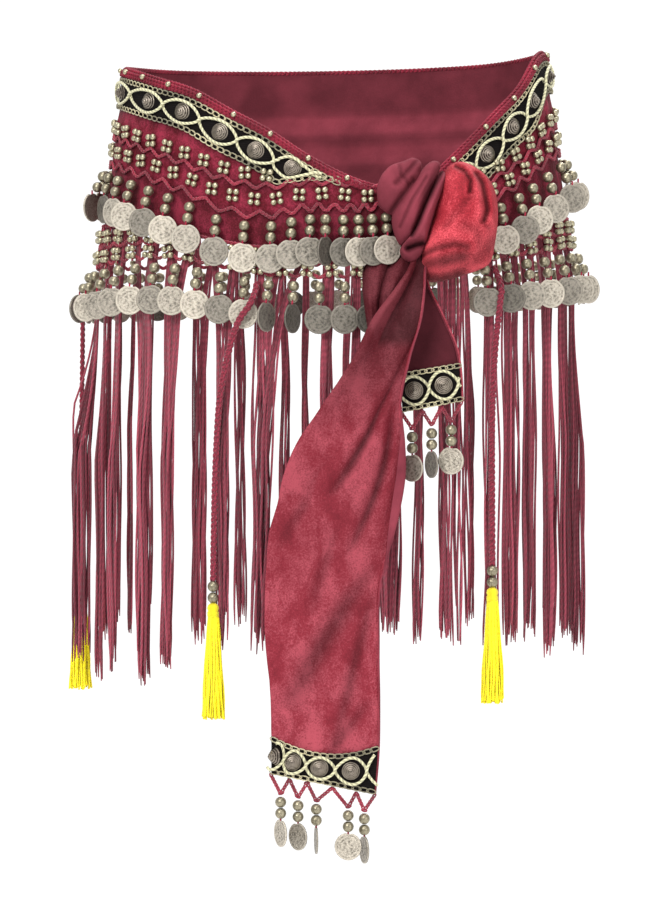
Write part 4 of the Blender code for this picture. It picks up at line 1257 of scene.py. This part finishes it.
def pendants(frames_at, spin, stem=0.0, coin_share=1.0, seed=0, out_more=0.0, bright=1.0):
    """Two stacked beads with their thread below each place, the coins, and the coins' relief."""
    sizes = bpy.context.scene.hip_scarf_sizes
    count = len(frames_at[0])
    marks = uneven(count, 4.13, seed)
    groups = []
    bead = ball(sizes.bead / 2.0, 12, 8, 0.0007)
    for index, (drop, out) in enumerate(BEAD_DROPS):
        places, axes = hung(frames_at, drop, out + out_more * (0.2 + 0.4 * index), 0.0, stem)
        axes = axes[:, [0, 2, 1]] * np.array([1.0, -1.0, 1.0])[None, :, None]
        groups.append((copies(bead, axes, places, (marks + 0.37 * index) % 1.0), "bronze"))
    coin, relief = coin_form(COIN_RADIUS * coin_share, sizes.coin_thickness)
    low = COIN_DROP - 11.0 * (1.0 - coin_share)
    places, axes = hung(frames_at, low, COIN_OUT + out_more, spin, stem)
    tops = places + axes[:, 1] * COIN_RADIUS * coin_share * 0.9
    ends = places + axes[:, 1] * (COIN_RADIUS * coin_share + 0.0022)
    thread = tube(np.stack([ends, (ends + tops) / 2.0, tops], axis=1), 0.0007, 6)
    groups.append((thread, "crochet"))
    roll = 0.16 * np.sin((np.arange(count) + seed) * 2.3)
    cos, sin = np.cos(roll)[:, None], np.sin(roll)[:, None]
    side, up, face = axes[:, 0], axes[:, 1], axes[:, 2]
    axes = np.stack([side * cos + up * sin, up * cos - side * sin, face], axis=1)
    # The coins' grain holds their own tone times bright, which is painted shade for coins by the
    # knot.
    return groups, copies(coin, axes, places, marks * bright), np.tile(relief, count)


def frames_on_band(turns, heights, out):
    """Middle, along and outward directions at places round the band."""
    middle = hip(turns, heights, out)
    outward = outward_of(middle)
    along = np.stack([-outward[:, 1], outward[:, 0], 0.0 * turns], axis=1)
    return middle, along, outward


def coin_row(row, column, gap):
    """A row of pendants round the band: their beads, their coins and the threads they hang by.

    A coin turns about the upright by its tilt and by 0.58 of its angle from the front past 8
    degrees, as far as a limit, and wavers. Those by the knot have turns of their own.
    """
    upper = row == "upper"
    turns = upper_pendants() if upper else pendant_turns(column, LOWER_TURNS)
    at = frames_on_band(turns, band(column, turns) - gap - STRIP_HEIGHT, STRIP_OUT)
    aside = np.abs(np.degrees(np.arctan2(at[2][:, 0], -at[2][:, 1])))
    side = np.where(turns > WING_LIMITS[2], -1.0, 1.0)
    limit = np.where((side < 0.0) & upper, 53.0, 86.0)
    sway = 0.58 * np.clip(aside - 8.0, 0.0, 60.0) * (aside < limit)
    spin = side * (COIN_TILT + np.radians(sway + 4.0 * np.sin(np.arange(len(turns)) * 1.9)))
    for where, first, last, angle in ASKEW_COINS:
        spin = np.where((where == row) & (turns > first) & (turns < last), np.radians(angle), spin)
    # Painted shade: coins in the knot's shade get darker colour.
    bright = np.ones(len(turns))
    for where, first, last, level in SHADED_COINS:
        bright = np.where((where == row) & (turns > first) & (turns < last), level, bright)
    # A coin on edge stands clear of the velvet; those before the gathers stand further out.
    extra = np.maximum(COIN_RADIUS / MM * np.abs(np.sin(spin)) - 1.6, 0.0)
    extra = extra + 2.5 * ((turns > 3.0) & upper)
    seed = 3 if upper else 8
    groups, coins, relief = pendants(at, spin, seed=seed, out_more=extra, bright=bright)
    piece(f"{row}_pendant_beads", groups, [])
    piece(f"{row}_coins", [(coins, "silver")], wings(f"{row}_coins"), relief)


def noise_of(count, seed):
    """Even random numbers from 0 to 1, the same on each run."""
    return np.random.default_rng(seed).random(count)


def fringe_yarns():
    """Tufts of yarn below the hem, one between each two lower pendants.

    A tuft's yarns swing to where it hangs as 1 - exp(-4.5 share) and waver slowly. Tufts of one
    bunch hang together as a round bundle; at the right of the front they hang spread out.
    """
    pendant = pendant_turns("net", LOWER_TURNS)
    tufts = np.concatenate([[FIRST_TURN + 2.0], (pendant[:-1] + pendant[1:]) / 2.0, [13.0]])
    number = np.arange(len(tufts))
    spread = np.where(tufts < SPREAD_BEFORE, 2.9, 0.9)
    hang_turn = tufts + 1.6 * np.sin(number * 5.7)
    hang_out = np.full(len(tufts), 3.4)
    hang_radius = np.where(tufts < SPREAD_BEFORE, 8.4, 3.2 + 1.2 * np.sin(number * 3.1))
    for first, last, turn, radius, out in BUNCHES:
        inside = (tufts >= first) & (tufts <= last)
        hang_turn = np.where(inside, turn, hang_turn)
        hang_out = np.where(inside, out, hang_out)
        hang_radius = np.where(inside, radius, hang_radius)
    owner = np.repeat(number, TUFT_YARNS)
    count = len(owner)
    angle, reach = noise_of(count, 1) * 2.0 * math.pi, np.sqrt(noise_of(count, 2))
    aside = np.cos(angle) * reach
    roots = np.clip(tufts[owner] + spread[owner] * aside, FIRST_TURN + 0.3, LAST_TURN - 0.4)
    ends = hang_turn[owner] + aside * hang_radius[owner] / 3.1
    thin = np.where(hang_radius[owner] > 8.0, 2.6, hang_radius[owner])
    end_out = np.maximum(hang_out[owner] + np.sin(angle) * reach * thin, 0.9) * MM
    share = np.linspace(0.0, 1.0, 24)[None, :]
    low = smooth_read(FRINGE_END, "end", ("turn", "end"), roots) * MM
    short = np.where(noise_of(count, 7) < 0.12, 0.05 * noise_of(count, 8), 0.0)
    low = low - 0.006 + 0.012 * noise_of(count, 6) + 0.009 * np.sin(owner * 4.3) + short
    swing = (1.0 - np.exp(-4.5 * share)) / (1.0 - math.exp(-4.5))
    phase = noise_of(count, 3)[:, None] * 2.0 * math.pi
    turns = roots[:, None] + (ends - roots)[:, None] * swing
    turns = turns + 0.42 * np.sin(share * 11.0 + phase) * np.clip(share * 3.0, 0.0, 1.0)
    hem = band("hem", roots) - 0.0005
    heights = hem[:, None] + (low - hem)[:, None] * share
    settle = np.clip(share * 3.2 - 0.7, 0.0, 1.0)
    out = 0.0012 + (end_out[:, None] - 0.0012) * settle**1.5
    out = out + 0.0007 * np.sin(share * 13.0 + phase * 1.7) * settle
    radius = bpy.context.scene.hip_scarf_sizes.yarn / 2.0 * np.where(share < 1.0, 1.0, 0.5)
    paths = hip(turns, heights, np.maximum(out, 0.0009))
    return [(tube(paths, np.broadcast_to(radius, turns.shape), 5, noise_of(count, 4)), "yarn")]


def plait(path, half_wide, half_deep, pitch, radius):
    """Three strands of a braid, a third of a turn apart.

    A strand swings across by the half width times sin p and out by the half depth times sin 2p.
    """
    fine = respaced(path, 0.0011)
    forward = unit(np.gradient(fine, axis=0))
    outward = outward_of(fine)
    side = unit(np.cross(forward, outward))
    face = np.cross(side, forward)
    phase = run_along(fine) / pitch * 2.0 * math.pi
    strands = []
    for third in range(3):
        turn = phase + third * 2.0 * math.pi / 3.0
        strands.append(
            fine
            + side * (half_wide * np.sin(turn))[:, None]
            + face * (half_deep * np.sin(2.0 * turn))[:, None]
        )
    return tube(np.stack(strands), radius, 8)


def tassel_yarns(top, count, length, seed):
    """Yarns of a tassel: they leave its head and spread slowly as they hang."""
    index = np.arange(count)
    angle = index * GOLDEN_ANGLE
    reach = np.sqrt((index + 0.5) / count)
    aim = np.stack([np.cos(angle), np.sin(angle)], axis=1) * reach[:, None]
    share = np.linspace(0.0, 1.0, 11)[None, :]
    spread = TASSEL_HALF * 0.8 + (TASSEL_SPREAD - TASSEL_HALF * 0.8) * share**0.8
    waver = 0.0006 * np.sin(share * 10.0 + noise_of(count, seed)[:, None] * 6.28) * share
    x = top[0] + aim[:, :1] * spread + waver
    y = top[1] + aim[:, 1:] * spread + waver[:, ::-1] * 0.7
    drop = length * (0.965 + 0.05 * noise_of(count, seed + 1))[:, None]
    z = top[2] - drop * share
    return tube(np.stack([x, y, z], axis=-1), 0.0007, 5, noise_of(count, seed + 2))


def hanging_cord(name, route, seed):
    """A plaited cord with two beads and a yellow tassel on its end."""
    path = cord_path(route, CORD_POINTS)
    strands = [(plait(path, *PLAIT), "cord")]
    stem = piece(f"cord_{name}_plait", strands, [f"cord_{name}"])
    end = path[-1]
    down = np.array([0.0, 0.0, -1.0])
    places = np.array([end + down * TASSEL_BEAD, end + down * TASSEL_BEAD * 3.0])
    axes = np.tile(np.eye(3)[None], (2, 1, 1))
    beads = copies(ball(TASSEL_BEAD, 16, 12, 0.0007), axes, places)
    neck = end + down * TASSEL_BEAD * 4.0
    profile = [
        (0.0, 0.0004), (0.0022, 0.0002), (TASSEL_HALF * 0.86, -0.0014), (TASSEL_HALF, -0.0036),
        (TASSEL_HALF * 0.84, -0.0058), (TASSEL_HALF * 0.98, -0.0064), (TASSEL_HALF * 0.98, -0.0094),
        (TASSEL_HALF * 0.86, -0.0102), (0.0, -0.0112),
    ]
    head = turned(np.array(profile)[::-1], 18)
    head = (head[0] + neck, head[1], head[2])
    low = neck + down * (TASSEL_HEAD - 0.003)
    yarns = tassel_yarns(low, TASSEL_YARNS, TASSEL_LENGTH - TASSEL_HEAD + 0.002, seed)
    tassel = piece(
        f"tassel_{name}_yarn",
        [(beads, "bronze"), (head, "yellow"), (yarns, "yellow")],
        [f"tassel_{name}"],
    )


def line_distance(x, z, points):
    """Distance of points in the front view to a line through the given points."""
    best = np.full(np.shape(x), 1.0)
    for (x0, z0), (x1, z1) in zip(points[:-1], points[1:]):
        ax, az, bx, bz = x0 * MM, z0 * MM, x1 * MM, z1 * MM
        length = (bx - ax) ** 2 + (bz - az) ** 2
        share = np.clip(((x - ax) * (bx - ax) + (z - az) * (bz - az)) / length, 0.0, 1.0)
        best = np.minimum(best, np.hypot(x - ax - share * (bx - ax), z - az - share * (bz - az)))
    return best


def pillow(outline, centre, depths, creases, seed):
    """A stuffed fold of cloth: its outline drawn in the front view, swelling to the front.

    At (p, q), p the angle from front to back and q round the outline, the point lies
    sin p of the way from the middle to the outline, and cos p of its depth forwards.
    """
    loop = np.array(outline, dtype=float)
    loop = np.concatenate([loop, loop[:1]])
    place = np.arange(len(loop), dtype=float)
    fine = np.linspace(0.0, place[-1], 97)[:-1]
    edge = np.stack([np.interp(fine, place, loop[:, axis]) for axis in (0, 1)], axis=1)
    kernel = np.array([0.2, 0.6, 0.2])
    for _ in range(10):
        edge = sum(np.roll(edge, shift, axis=0) * k for shift, k in zip((-1, 0, 1), kernel))
    centre = np.array(centre)
    middle_y, front, back = depths
    angle = np.linspace(0.02, math.pi - 0.02, 56)[:, None]
    reach = np.sin(angle) ** 0.85
    x = (centre[0] + (edge[:, 0] - centre[0]) * reach) * MM
    z = (centre[1] + (edge[:, 1] - centre[1]) * reach) * MM
    cos = np.cos(angle)
    y = (middle_y - np.where(cos > 0.0, front, back) * cos) * MM + 0.0 * x
    facing = np.clip(cos * 2.5, 0.0, 1.0)
    # Painted shade: darker towards each fold's outline and back, and along its creases by their
    # depth.
    dark = 0.45 * (1.0 - np.clip(cos * 2.0, 0.0, 1.0)) + 0.0 * x
    for line, depth, width in creases:
        away = line_distance(x, z, line)
        ridge = 0.45 * np.exp(-(((away - 2.0 * width * MM) / (width * 1.3 * MM)) ** 2))
        trough = np.exp(-((away / (width * MM)) ** 2))
        y = y + depth * MM * facing * (trough - ridge * (depth > 0.0))
        dark = np.maximum(dark, trough * np.clip(depth / 3.6, 0.0, 0.95))
    y = y + crush(x + seed * 0.05, z, 0.8) * 0.9 * facing
    points = np.stack([x, y, z], axis=-1)
    own = np.stack([0.0 * dark, 0.0 * dark, dark], axis=-1)
    body, faces, grain = lattice(points, own, wrap=True)
    count, sides = len(body), points.shape[1]
    faces += [fan(0, sides, count, True), fan(count - sides, sides, count + 1)]
    tips = np.stack([points[0].mean(axis=0), points[-1].mean(axis=0)])
    return np.concatenate([body, tips]), faces, np.concatenate([grain, np.zeros((2, 3))])


def knot():
    """The knot's lobes and the turn of cloth between them."""
    for seed, (name, outline, centre, depths, creases, nodes, slot) in enumerate(KNOT_PARTS):
        form = pillow(outline, centre, depths, creases, seed)
        look = "knot_velvet" if slot == "crushed_velvet" else "wrong_side"
        made = piece(name, [(form, look)], nodes)


def gather():
    """Velvet gathered under the knot: round upright folds, y = -depth |sin| of the share across."""
    heights = np.linspace(GATHER[0][0], GATHER[-1][0], 40)[:, None]
    across = np.linspace(0.0, 1.0, 61)[None, :]
    left, right, front = (
        smooth_read(GATHER, column, GATHER_COLUMNS, heights) * MM for column in GATHER_COLUMNS[1:]
    )
    x = left + (right - left) * across
    bulge = np.abs(np.sin((across * 2.15 + 0.04 * np.sin(heights * 0.09)) * math.pi)) ** 0.7
    y = front + 0.0024 - 0.0058 * bulge + 0.0004 * np.sin(across * 31.0 + heights * 0.06)
    z = heights * MM + 0.0 * across
    points = np.stack([x, y, z], axis=-1)
    # Painted shade: dark all over, most in the troughs between the folds and at the top, under the
    # knot.
    dark = np.maximum(1.0 - 0.24 * bulge, np.clip((heights + 90.0) / 10.0, 0.0, 1.0))
    groups = two_sided(points[::-1], TAIL_WALL, "tail_velvet", "wrong_side", dark[::-1])
    made = piece("knot_gather_folds", groups, ["knot_gather"])


def rolled_edge(points, excess, radius=0.0018):
    """The cloth carried on past its right edge by excess and rolled forwards over itself."""
    share = np.linspace(0.0, 1.0, 13)[None, 1:]
    length = excess[:, None] * share
    angle = np.minimum(length / radius, math.pi)
    back = np.maximum(length - math.pi * radius, 0.0)
    edge = points[:, -1]
    x = edge[:, :1] + radius * np.sin(angle) - back
    y = edge[:, 1:2] - radius * (1.0 - np.cos(angle)) - 0.0015 * share
    z = edge[:, 2:] + 0.0 * share
    return np.concatenate([points, np.stack([x, y, z], axis=-1)], axis=1)


def long_tail_roll(share):
    """Width of cloth rolled over at this share of the long tail's length: most half way down."""
    swell = np.clip(np.sin((share - 0.29) / 0.32 * math.pi), 0.0, 1.0)
    return 0.001 + 0.0095 * swell * (np.abs(share - 0.45) < 0.17)


def long_tail_shadow(heights, across):
    """Painted shade on the long tail: most at the top right, under the knot, less towards its
    middle.
    """
    corner = np.clip((heights + 168.0) / 28.0, 0.0, 1.0) * np.clip((across - 0.2) / 0.14, 0.0, 1.0)
    middle = 0.15 * np.clip((heights + 350.0) / 60.0, 0.0, 1.0)
    top = 0.52 * np.clip((heights + 212.0) / 56.0, 0.0, 1.0)
    return np.maximum(0.97 * corner, middle + top)


def short_tail_roll(share):
    """Width of cloth rolled over along the short tail: the same all the way down."""
    return np.full(len(share), 0.002)


def short_tail_shadow(heights, across):
    """Painted shade on the short tail's wrong side: all of it, in the knot's shade."""
    return 0.75 + 0.0 * heights * across


def tail(name, table, grid, folded, roll, shadow, looks):
    """A hanging tail of the scarf with its folds, crushed surface and rolled edge.

    Roll gives the width rolled over by share of the length, and shadow the painted shade
    by height and share across.
    """
    rows, columns = grid
    heights = np.linspace(table[0][0], table[-1][0], rows)[:, None]
    across = np.linspace(0.0, 1.0, columns)[None, :]
    points = tail_points(table, heights, across, VELVET_WALL / 2.0, folded)
    end_fade = np.clip((heights - table[-1][0]) / 25.0, 0.0, 1.0)
    edge_fade = end_fade * np.clip((1.0 - across) * 12.0, 0.0, 1.0)
    points[..., 1] += 1.6 * crush(points[..., 0], points[..., 2], 0.75) * edge_fade
    share = (heights[:, 0] - table[0][0]) / (table[-1][0] - table[0][0])
    dark = shadow(heights, across)
    if folded:
        # Painted shade in the folds' troughs, by their depth.
        dark = np.maximum(dark, np.clip(fold_depth(heights, across) / 5.4, 0.0, 0.92))
    points = rolled_edge(points, roll(share))
    dark = np.concatenate([dark, np.zeros((rows, points.shape[1] - columns))], axis=1)
    groups = two_sided(points[:, ::-1], TAIL_WALL, *looks, dark[:, ::-1])
    made = piece(f"{name}_cloth", groups, [name])


def tail_end(name, table, studs, hangers, waist):
    """A tail's end trim, its crocheted points and its pendants.

    Hangers holds each pendant's share across and the turn of its coin in degrees. The trim's
    width narrows by waist times the square of the distance from 0.42 across.
    """
    last = table[-1][0]
    face = VELVET_WALL + 0.0003
    across = np.linspace(0.0, 1.0, 60)[None, :]
    shares = np.linspace(0.0, 1.0, 200)
    full = TAIL_TRIM_WIDTH / MM

    def width(places):
        return full * (1.0 - 0.16 * waist + waist * (places - 0.42) ** 2)

    trim_rows = last + np.linspace(0.0, 1.0, 9)[:, None] * width(across)
    ribbon = tail_points(table, trim_rows, across, face + RIBBON_WALL / 2.0, False)
    form, rim = cloth(ribbon, RIBBON_WALL)
    groups = [(with_rim(form, rim), "ribbon")]
    forward = np.array([0.0, -1.0, 0.0])
    inner = 0.03 + 0.94 * shares
    for height in (last + 1.8 + 0.0 * inner, last + width(inner) - 1.8):
        line = tail_points(table, height, inner, face + RIBBON_WALL + 0.0006, False)
        groups.append((stitches(line, TAIL_TRIM_STITCH, 10, forward), "chain_thread"))
    middle_height = last + width(shares) / 2.0
    middle = tail_points(table, middle_height, shares, face + RIBBON_WALL + 0.0016, False)
    outward = np.broadcast_to(forward, middle.shape)
    along = unit(np.gradient(middle, axis=0))
    reach = (0.43 * width(shares) - 1.9) * MM
    upwards = unit(np.cross(outward, along))
    eyes = eye_cords(middle, upwards, outward, eye_phase(shares, studs), reach)
    groups.append((eyes, "gold_cord"))
    at_studs = np.array(studs)
    stud_height = last + width(at_studs) / 2.0
    places = tail_points(table, stud_height, at_studs, face + RIBBON_WALL, False)
    turn = np.where(at_studs < CORNER_STUD_SHARE, math.radians(CORNER_STUD_TURN), 0.0)
    axes = stand_frames(np.stack([-np.sin(turn), -np.cos(turn), 0.0 * turn], axis=1))
    groups.append((copies(spiral_cone(STUD_RADIUS, STUD_HEIGHT), axes, places), "pewter"))
    piece(f"{name}_end_trim", groups, [f"{name}_trim"])
    middles, spin = np.array(hangers).T
    count = len(hangers)
    at = tail_points(table, np.full(count, last), middles, VELVET_WALL / 2.0, False)
    at[:, 2] -= 0.0023
    side = np.tile([[1.0, 0.0, 0.0]], (count, 1))
    front = np.tile([[0.0, -1.0, 0.0]], (count, 1))
    frames_at, spin = (at, side, front), np.radians(spin)
    groups, coins, relief = pendants(frames_at, spin, TAIL_STEM, TAIL_COIN_SHARE, seed=count)
    fine = np.linspace(0.0, 1.0, 400)
    points = tail_points(table, np.full(400, last), fine, VELVET_WALL / 2.0, False)
    peaks = np.concatenate([[0.0], (middles[:-1] + middles[1:]) / 2.0, [1.0]])
    turns = np.sort(np.concatenate([peaks, middles]))
    drop = np.interp(fine, turns, np.arange(len(turns)) % 2)
    points[:, 2] -= 0.0015 + (TAIL_STEM - 0.001) * drop
    groups.append((stitches(points, TAIL_POINT_STITCH, 8, forward), "crochet"))
    piece(f"{name}_pendant_beads", groups, [])
    piece(f"{name}_end_coins", [(coins, "silver")], [f"{name}_coins"], relief)


# Stage.


def studio_floor(finish):
    """A round pale floor under the scarf: one flat face whose corners lie on a circle."""
    turn = np.radians(np.arange(0.0, 360.0, 3.0))
    rim = np.stack(
        [FLOOR_RADIUS * np.cos(turn), FLOOR_RADIUS * np.sin(turn), FLOOR_HEIGHT + 0.0 * turn],
        axis=-1,
    )
    mesh = bpy.data.meshes.new("studio_floor")
    mesh.from_pydata(rim.tolist(), [], [list(range(len(rim)))])
    mesh.materials.append(finish)
    made = bpy.data.objects.new("studio_floor", mesh)
    bpy.context.scene.collection.objects.link(made)


def studio_sky():
    """Even light all round, a little brighter behind, as before a white wall."""
    world = bpy.data.worlds.new("studio_world")
    world.use_nodes = True
    tree = world.node_tree
    axes = add(tree, "SeparateXYZ", {0: add(tree, "TexCoord").outputs["Generated"]})
    level = add(
        tree, "MapRange",
        {
            "Value": axes.outputs["Y"], "From Min": -0.2, "From Max": 0.6,
            "To Min": SKY_FRONT, "To Max": SKY_BACK,
        },
    )
    inputs = {"Color": (1.0, 1.0, 1.0, 1.0), "Strength": level.outputs["Result"]}
    feed(tree, tree.nodes["Background"], inputs)
    bpy.context.scene.world = world


def area_light(name, place, size, power):
    """A soft square light aimed at the middle of the scarf."""
    light = bpy.data.lights.new(name, "AREA")
    light.shape = "SQUARE"
    light.size = size
    light.energy = power
    made = bpy.data.objects.new(name, light)
    made.location = place
    aim = Vector(TARGET) - made.location
    made.rotation_euler = aim.to_track_quat("-Z", "Y").to_euler()
    bpy.context.scene.collection.objects.link(made)


def camera():
    """The camera at the photo's angle."""
    data = bpy.data.cameras.new("camera")
    data.lens = CAMERA_LENS
    made = bpy.data.objects.new("camera", data)
    rise = math.radians(CAMERA_RISE)
    away = Vector((0.0, -math.cos(rise), math.sin(rise))) * CAMERA_AWAY
    made.location = Vector(TARGET) + away
    made.rotation_euler = (-away).to_track_quat("-Z", "Y").to_euler()
    bpy.context.scene.collection.objects.link(made)
    bpy.context.scene.camera = made


# Add-on.


class HipScarfSizes(bpy.types.PropertyGroup):
    """Sizes of the scarf's small parts."""

    bead: FloatProperty(
        name="Pendant bead", description="Diameter of the beads above each coin",
        default=0.0083, unit="LENGTH",
    )
    small_bead: FloatProperty(
        name="Small bead", description="Diameter of the beads in the groups of four",
        default=0.0049, unit="LENGTH",
    )
    coin_thickness: FloatProperty(
        name="Coin thickness", description="Thickness of a coin", default=0.001, unit="LENGTH"
    )
    yarn: FloatProperty(
        name="Fringe yarn", description="Diameter of a yarn of the fringe",
        default=0.0017, unit="LENGTH",
    )


def colour_property(name, description, code):
    """A colour of the scarf, from its sRGB hex code."""
    return FloatVectorProperty(
        name=name, description=description, subtype="COLOR", default=linear(code), min=0.0, max=1.0
    )


class HipScarfColours(bpy.types.PropertyGroup):
    """Colours of the scarf."""

    # Band, knot and tails are one velvet: the band's colour is darker, as painted shade among its
    # beadwork, and the knot's lighter, as painted light on its large lobe.
    band_velvet: colour_property("Band velvet", "Velvet round the hips", "#661a2a")
    knot_velvet: colour_property("Knot velvet", "Velvet of the knot's large lobe", "#a53b43")
    tail_velvet: colour_property("Tail velvet", "Velvet of the hanging tails", "#843640")
    wrong_side: colour_property("Wrong side", "Matt back of the velvet", "#7a333e")
    ribbon: colour_property("Ribbon", "Ribbon of the trim", "#0e0a0a")
    gold_cord: colour_property("Gold cord", "Cord that crosses between the studs", "#ddd8b0")
    stitch: colour_property("Chain stitch", "Stitches along the trim's edges", "#cdc29c")
    crochet: colour_property("Crochet", "Crocheted chains and net", "#ac2440")
    cord: colour_property("Cord", "Plaited hanging cords", "#932c40")
    edging: colour_property("Edging", "Crocheted top edge", "#8c1e34")
    fringe: colour_property("Fringe", "Yarn of the fringe", "#7c323f")
    tassel: colour_property("Tassel", "Yarn of the tassels", "#ecda1e")
    stud: colour_property("Stud", "Cone studs", "#8e8478")
    small_bead: colour_property("Small bead", "Beads in groups of four", "#b4ac90")
    bead: colour_property("Bead", "Beads above the coins", "#968e78")
    coin: colour_property("Coin", "Coins", "#beb5a6")


class HIPSCARF_OT_velvet(bpy.types.Operator):
    """Build the velvet band"""

    bl_idname = "hip_scarf.velvet"
    bl_label = "Velvet band"

    def execute(self, context):
        made = piece("velvet_band", velvet_band(), wings("velvet"))
        return {"FINISHED"}


class HIPSCARF_OT_trim(bpy.types.Operator):
    """Build the crocheted edging and the studded trim"""

    bl_idname = "hip_scarf.trim"
    bl_label = "Edging and trim"

    def execute(self, context):
        piece("crochet_edging", edging(), [])
        piece("studded_trim", band_trim(), wings("trim"))
        return {"FINISHED"}


class HIPSCARF_OT_beadwork(bpy.types.Operator):
    """Build the bead groups and chains on the velvet, and the net below it"""

    bl_idname = "hip_scarf.beadwork"
    bl_label = "Beadwork and net"

    def execute(self, context):
        piece("velvet_beadwork", beadwork(), [])
        piece("bead_net", net_tier(), wings("net"))
        return {"FINISHED"}


class HIPSCARF_OT_coins(bpy.types.Operator):
    """Build the two rows of bead and coin pendants"""

    bl_idname = "hip_scarf.coins"
    bl_label = "Coin rows"

    def execute(self, context):
        coin_row("upper", "line", 0.0)
        coin_row("lower", "net", 0.0003)
        return {"FINISHED"}


class HIPSCARF_OT_fringe(bpy.types.Operator):
    """Build the yarn fringe"""

    bl_idname = "hip_scarf.fringe"
    bl_label = "Fringe"

    def execute(self, context):
        piece("yarn_fringe", fringe_yarns(), wings("fringe"))
        return {"FINISHED"}


class HIPSCARF_OT_cords(bpy.types.Operator):
    """Build the cords with their tassels"""

    bl_idname = "hip_scarf.cords"
    bl_label = "Cords and tassels"

    def execute(self, context):
        for seed, (name, route) in enumerate(CORDS):
            hanging_cord(name, route, 40 + 10 * seed)
        return {"FINISHED"}


class HIPSCARF_OT_knot(bpy.types.Operator):
    """Build the knot and the velvet gathered under it"""

    bl_idname = "hip_scarf.knot"
    bl_label = "Knot"

    def execute(self, context):
        knot()
        gather()
        return {"FINISHED"}


class HIPSCARF_OT_tails(bpy.types.Operator):
    """Build the two hanging tails and their ends"""

    bl_idname = "hip_scarf.tails"
    bl_label = "Tails"

    def execute(self, context):
        tail(
            "long_tail", LONG_TAIL, (225, 86), True, long_tail_roll, long_tail_shadow,
            ("tail_velvet", "wrong_side"),
        )
        tail(
            "short_tail", SHORT_TAIL, (60, 40), False, short_tail_roll, short_tail_shadow,
            ("wrong_side", "tail_velvet"),
        )
        tail_end("long_tail", LONG_TAIL, LONG_STUDS, LONG_PENDANTS, LONG_WAIST)
        tail_end("short_tail", SHORT_TAIL, SHORT_STUDS, SHORT_PENDANTS, SHORT_WAIST)
        return {"FINISHED"}


class HIPSCARF_OT_stage(bpy.types.Operator):
    """Build the floor, lights and camera"""

    bl_idname = "hip_scarf.stage"
    bl_label = "Stage"

    def execute(self, context):
        studio_floor(painted("pale studio paper", linear("#f4f4f4"), 0.9))
        studio_sky()
        for light in LIGHTS:
            area_light(*light)
        context.scene.view_settings.view_transform = "Standard"
        camera()
        return {"FINISHED"}


OPERATORS = (
    HIPSCARF_OT_velvet, HIPSCARF_OT_trim, HIPSCARF_OT_beadwork, HIPSCARF_OT_coins,
    HIPSCARF_OT_fringe, HIPSCARF_OT_cords, HIPSCARF_OT_knot, HIPSCARF_OT_tails,
    HIPSCARF_OT_stage,
)


class HIPSCARF_PT_panel(bpy.types.Panel):
    """Lists the scarf's operators with its sizes and colours"""

    bl_label = "Hip Scarf"
    bl_idname = "HIPSCARF_PT_panel"
    bl_space_type = "VIEW_3D"
    bl_region_type = "UI"
    bl_category = "Hip Scarf"

    def draw(self, context):
        column = self.layout.column()
        for operator in OPERATORS:
            column.operator(operator.bl_idname)
        for group in (context.scene.hip_scarf_sizes, context.scene.hip_scarf_colours):
            for name in group.bl_rna.properties.keys():
                if name not in ("rna_type", "name"):
                    column.prop(group, name)


CLASSES = (HipScarfSizes, HipScarfColours, *OPERATORS, HIPSCARF_PT_panel)


def register():
    """Registers the classes and the scene's properties."""
    for kind in CLASSES:
        bpy.utils.register_class(kind)
    bpy.types.Scene.hip_scarf_sizes = PointerProperty(type=HipScarfSizes)
    bpy.types.Scene.hip_scarf_colours = PointerProperty(type=HipScarfColours)


def unregister():
    """Removes what register added."""
    del bpy.types.Scene.hip_scarf_colours
    del bpy.types.Scene.hip_scarf_sizes
    for kind in reversed(CLASSES):
        bpy.utils.unregister_class(kind)


def main():
    """Builds every piece."""
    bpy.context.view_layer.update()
    register()
    for operator in OPERATORS:
        group, name = operator.bl_idname.split(".")
        getattr(getattr(bpy.ops, group), name)()


if __name__ == "__main__":
    main()
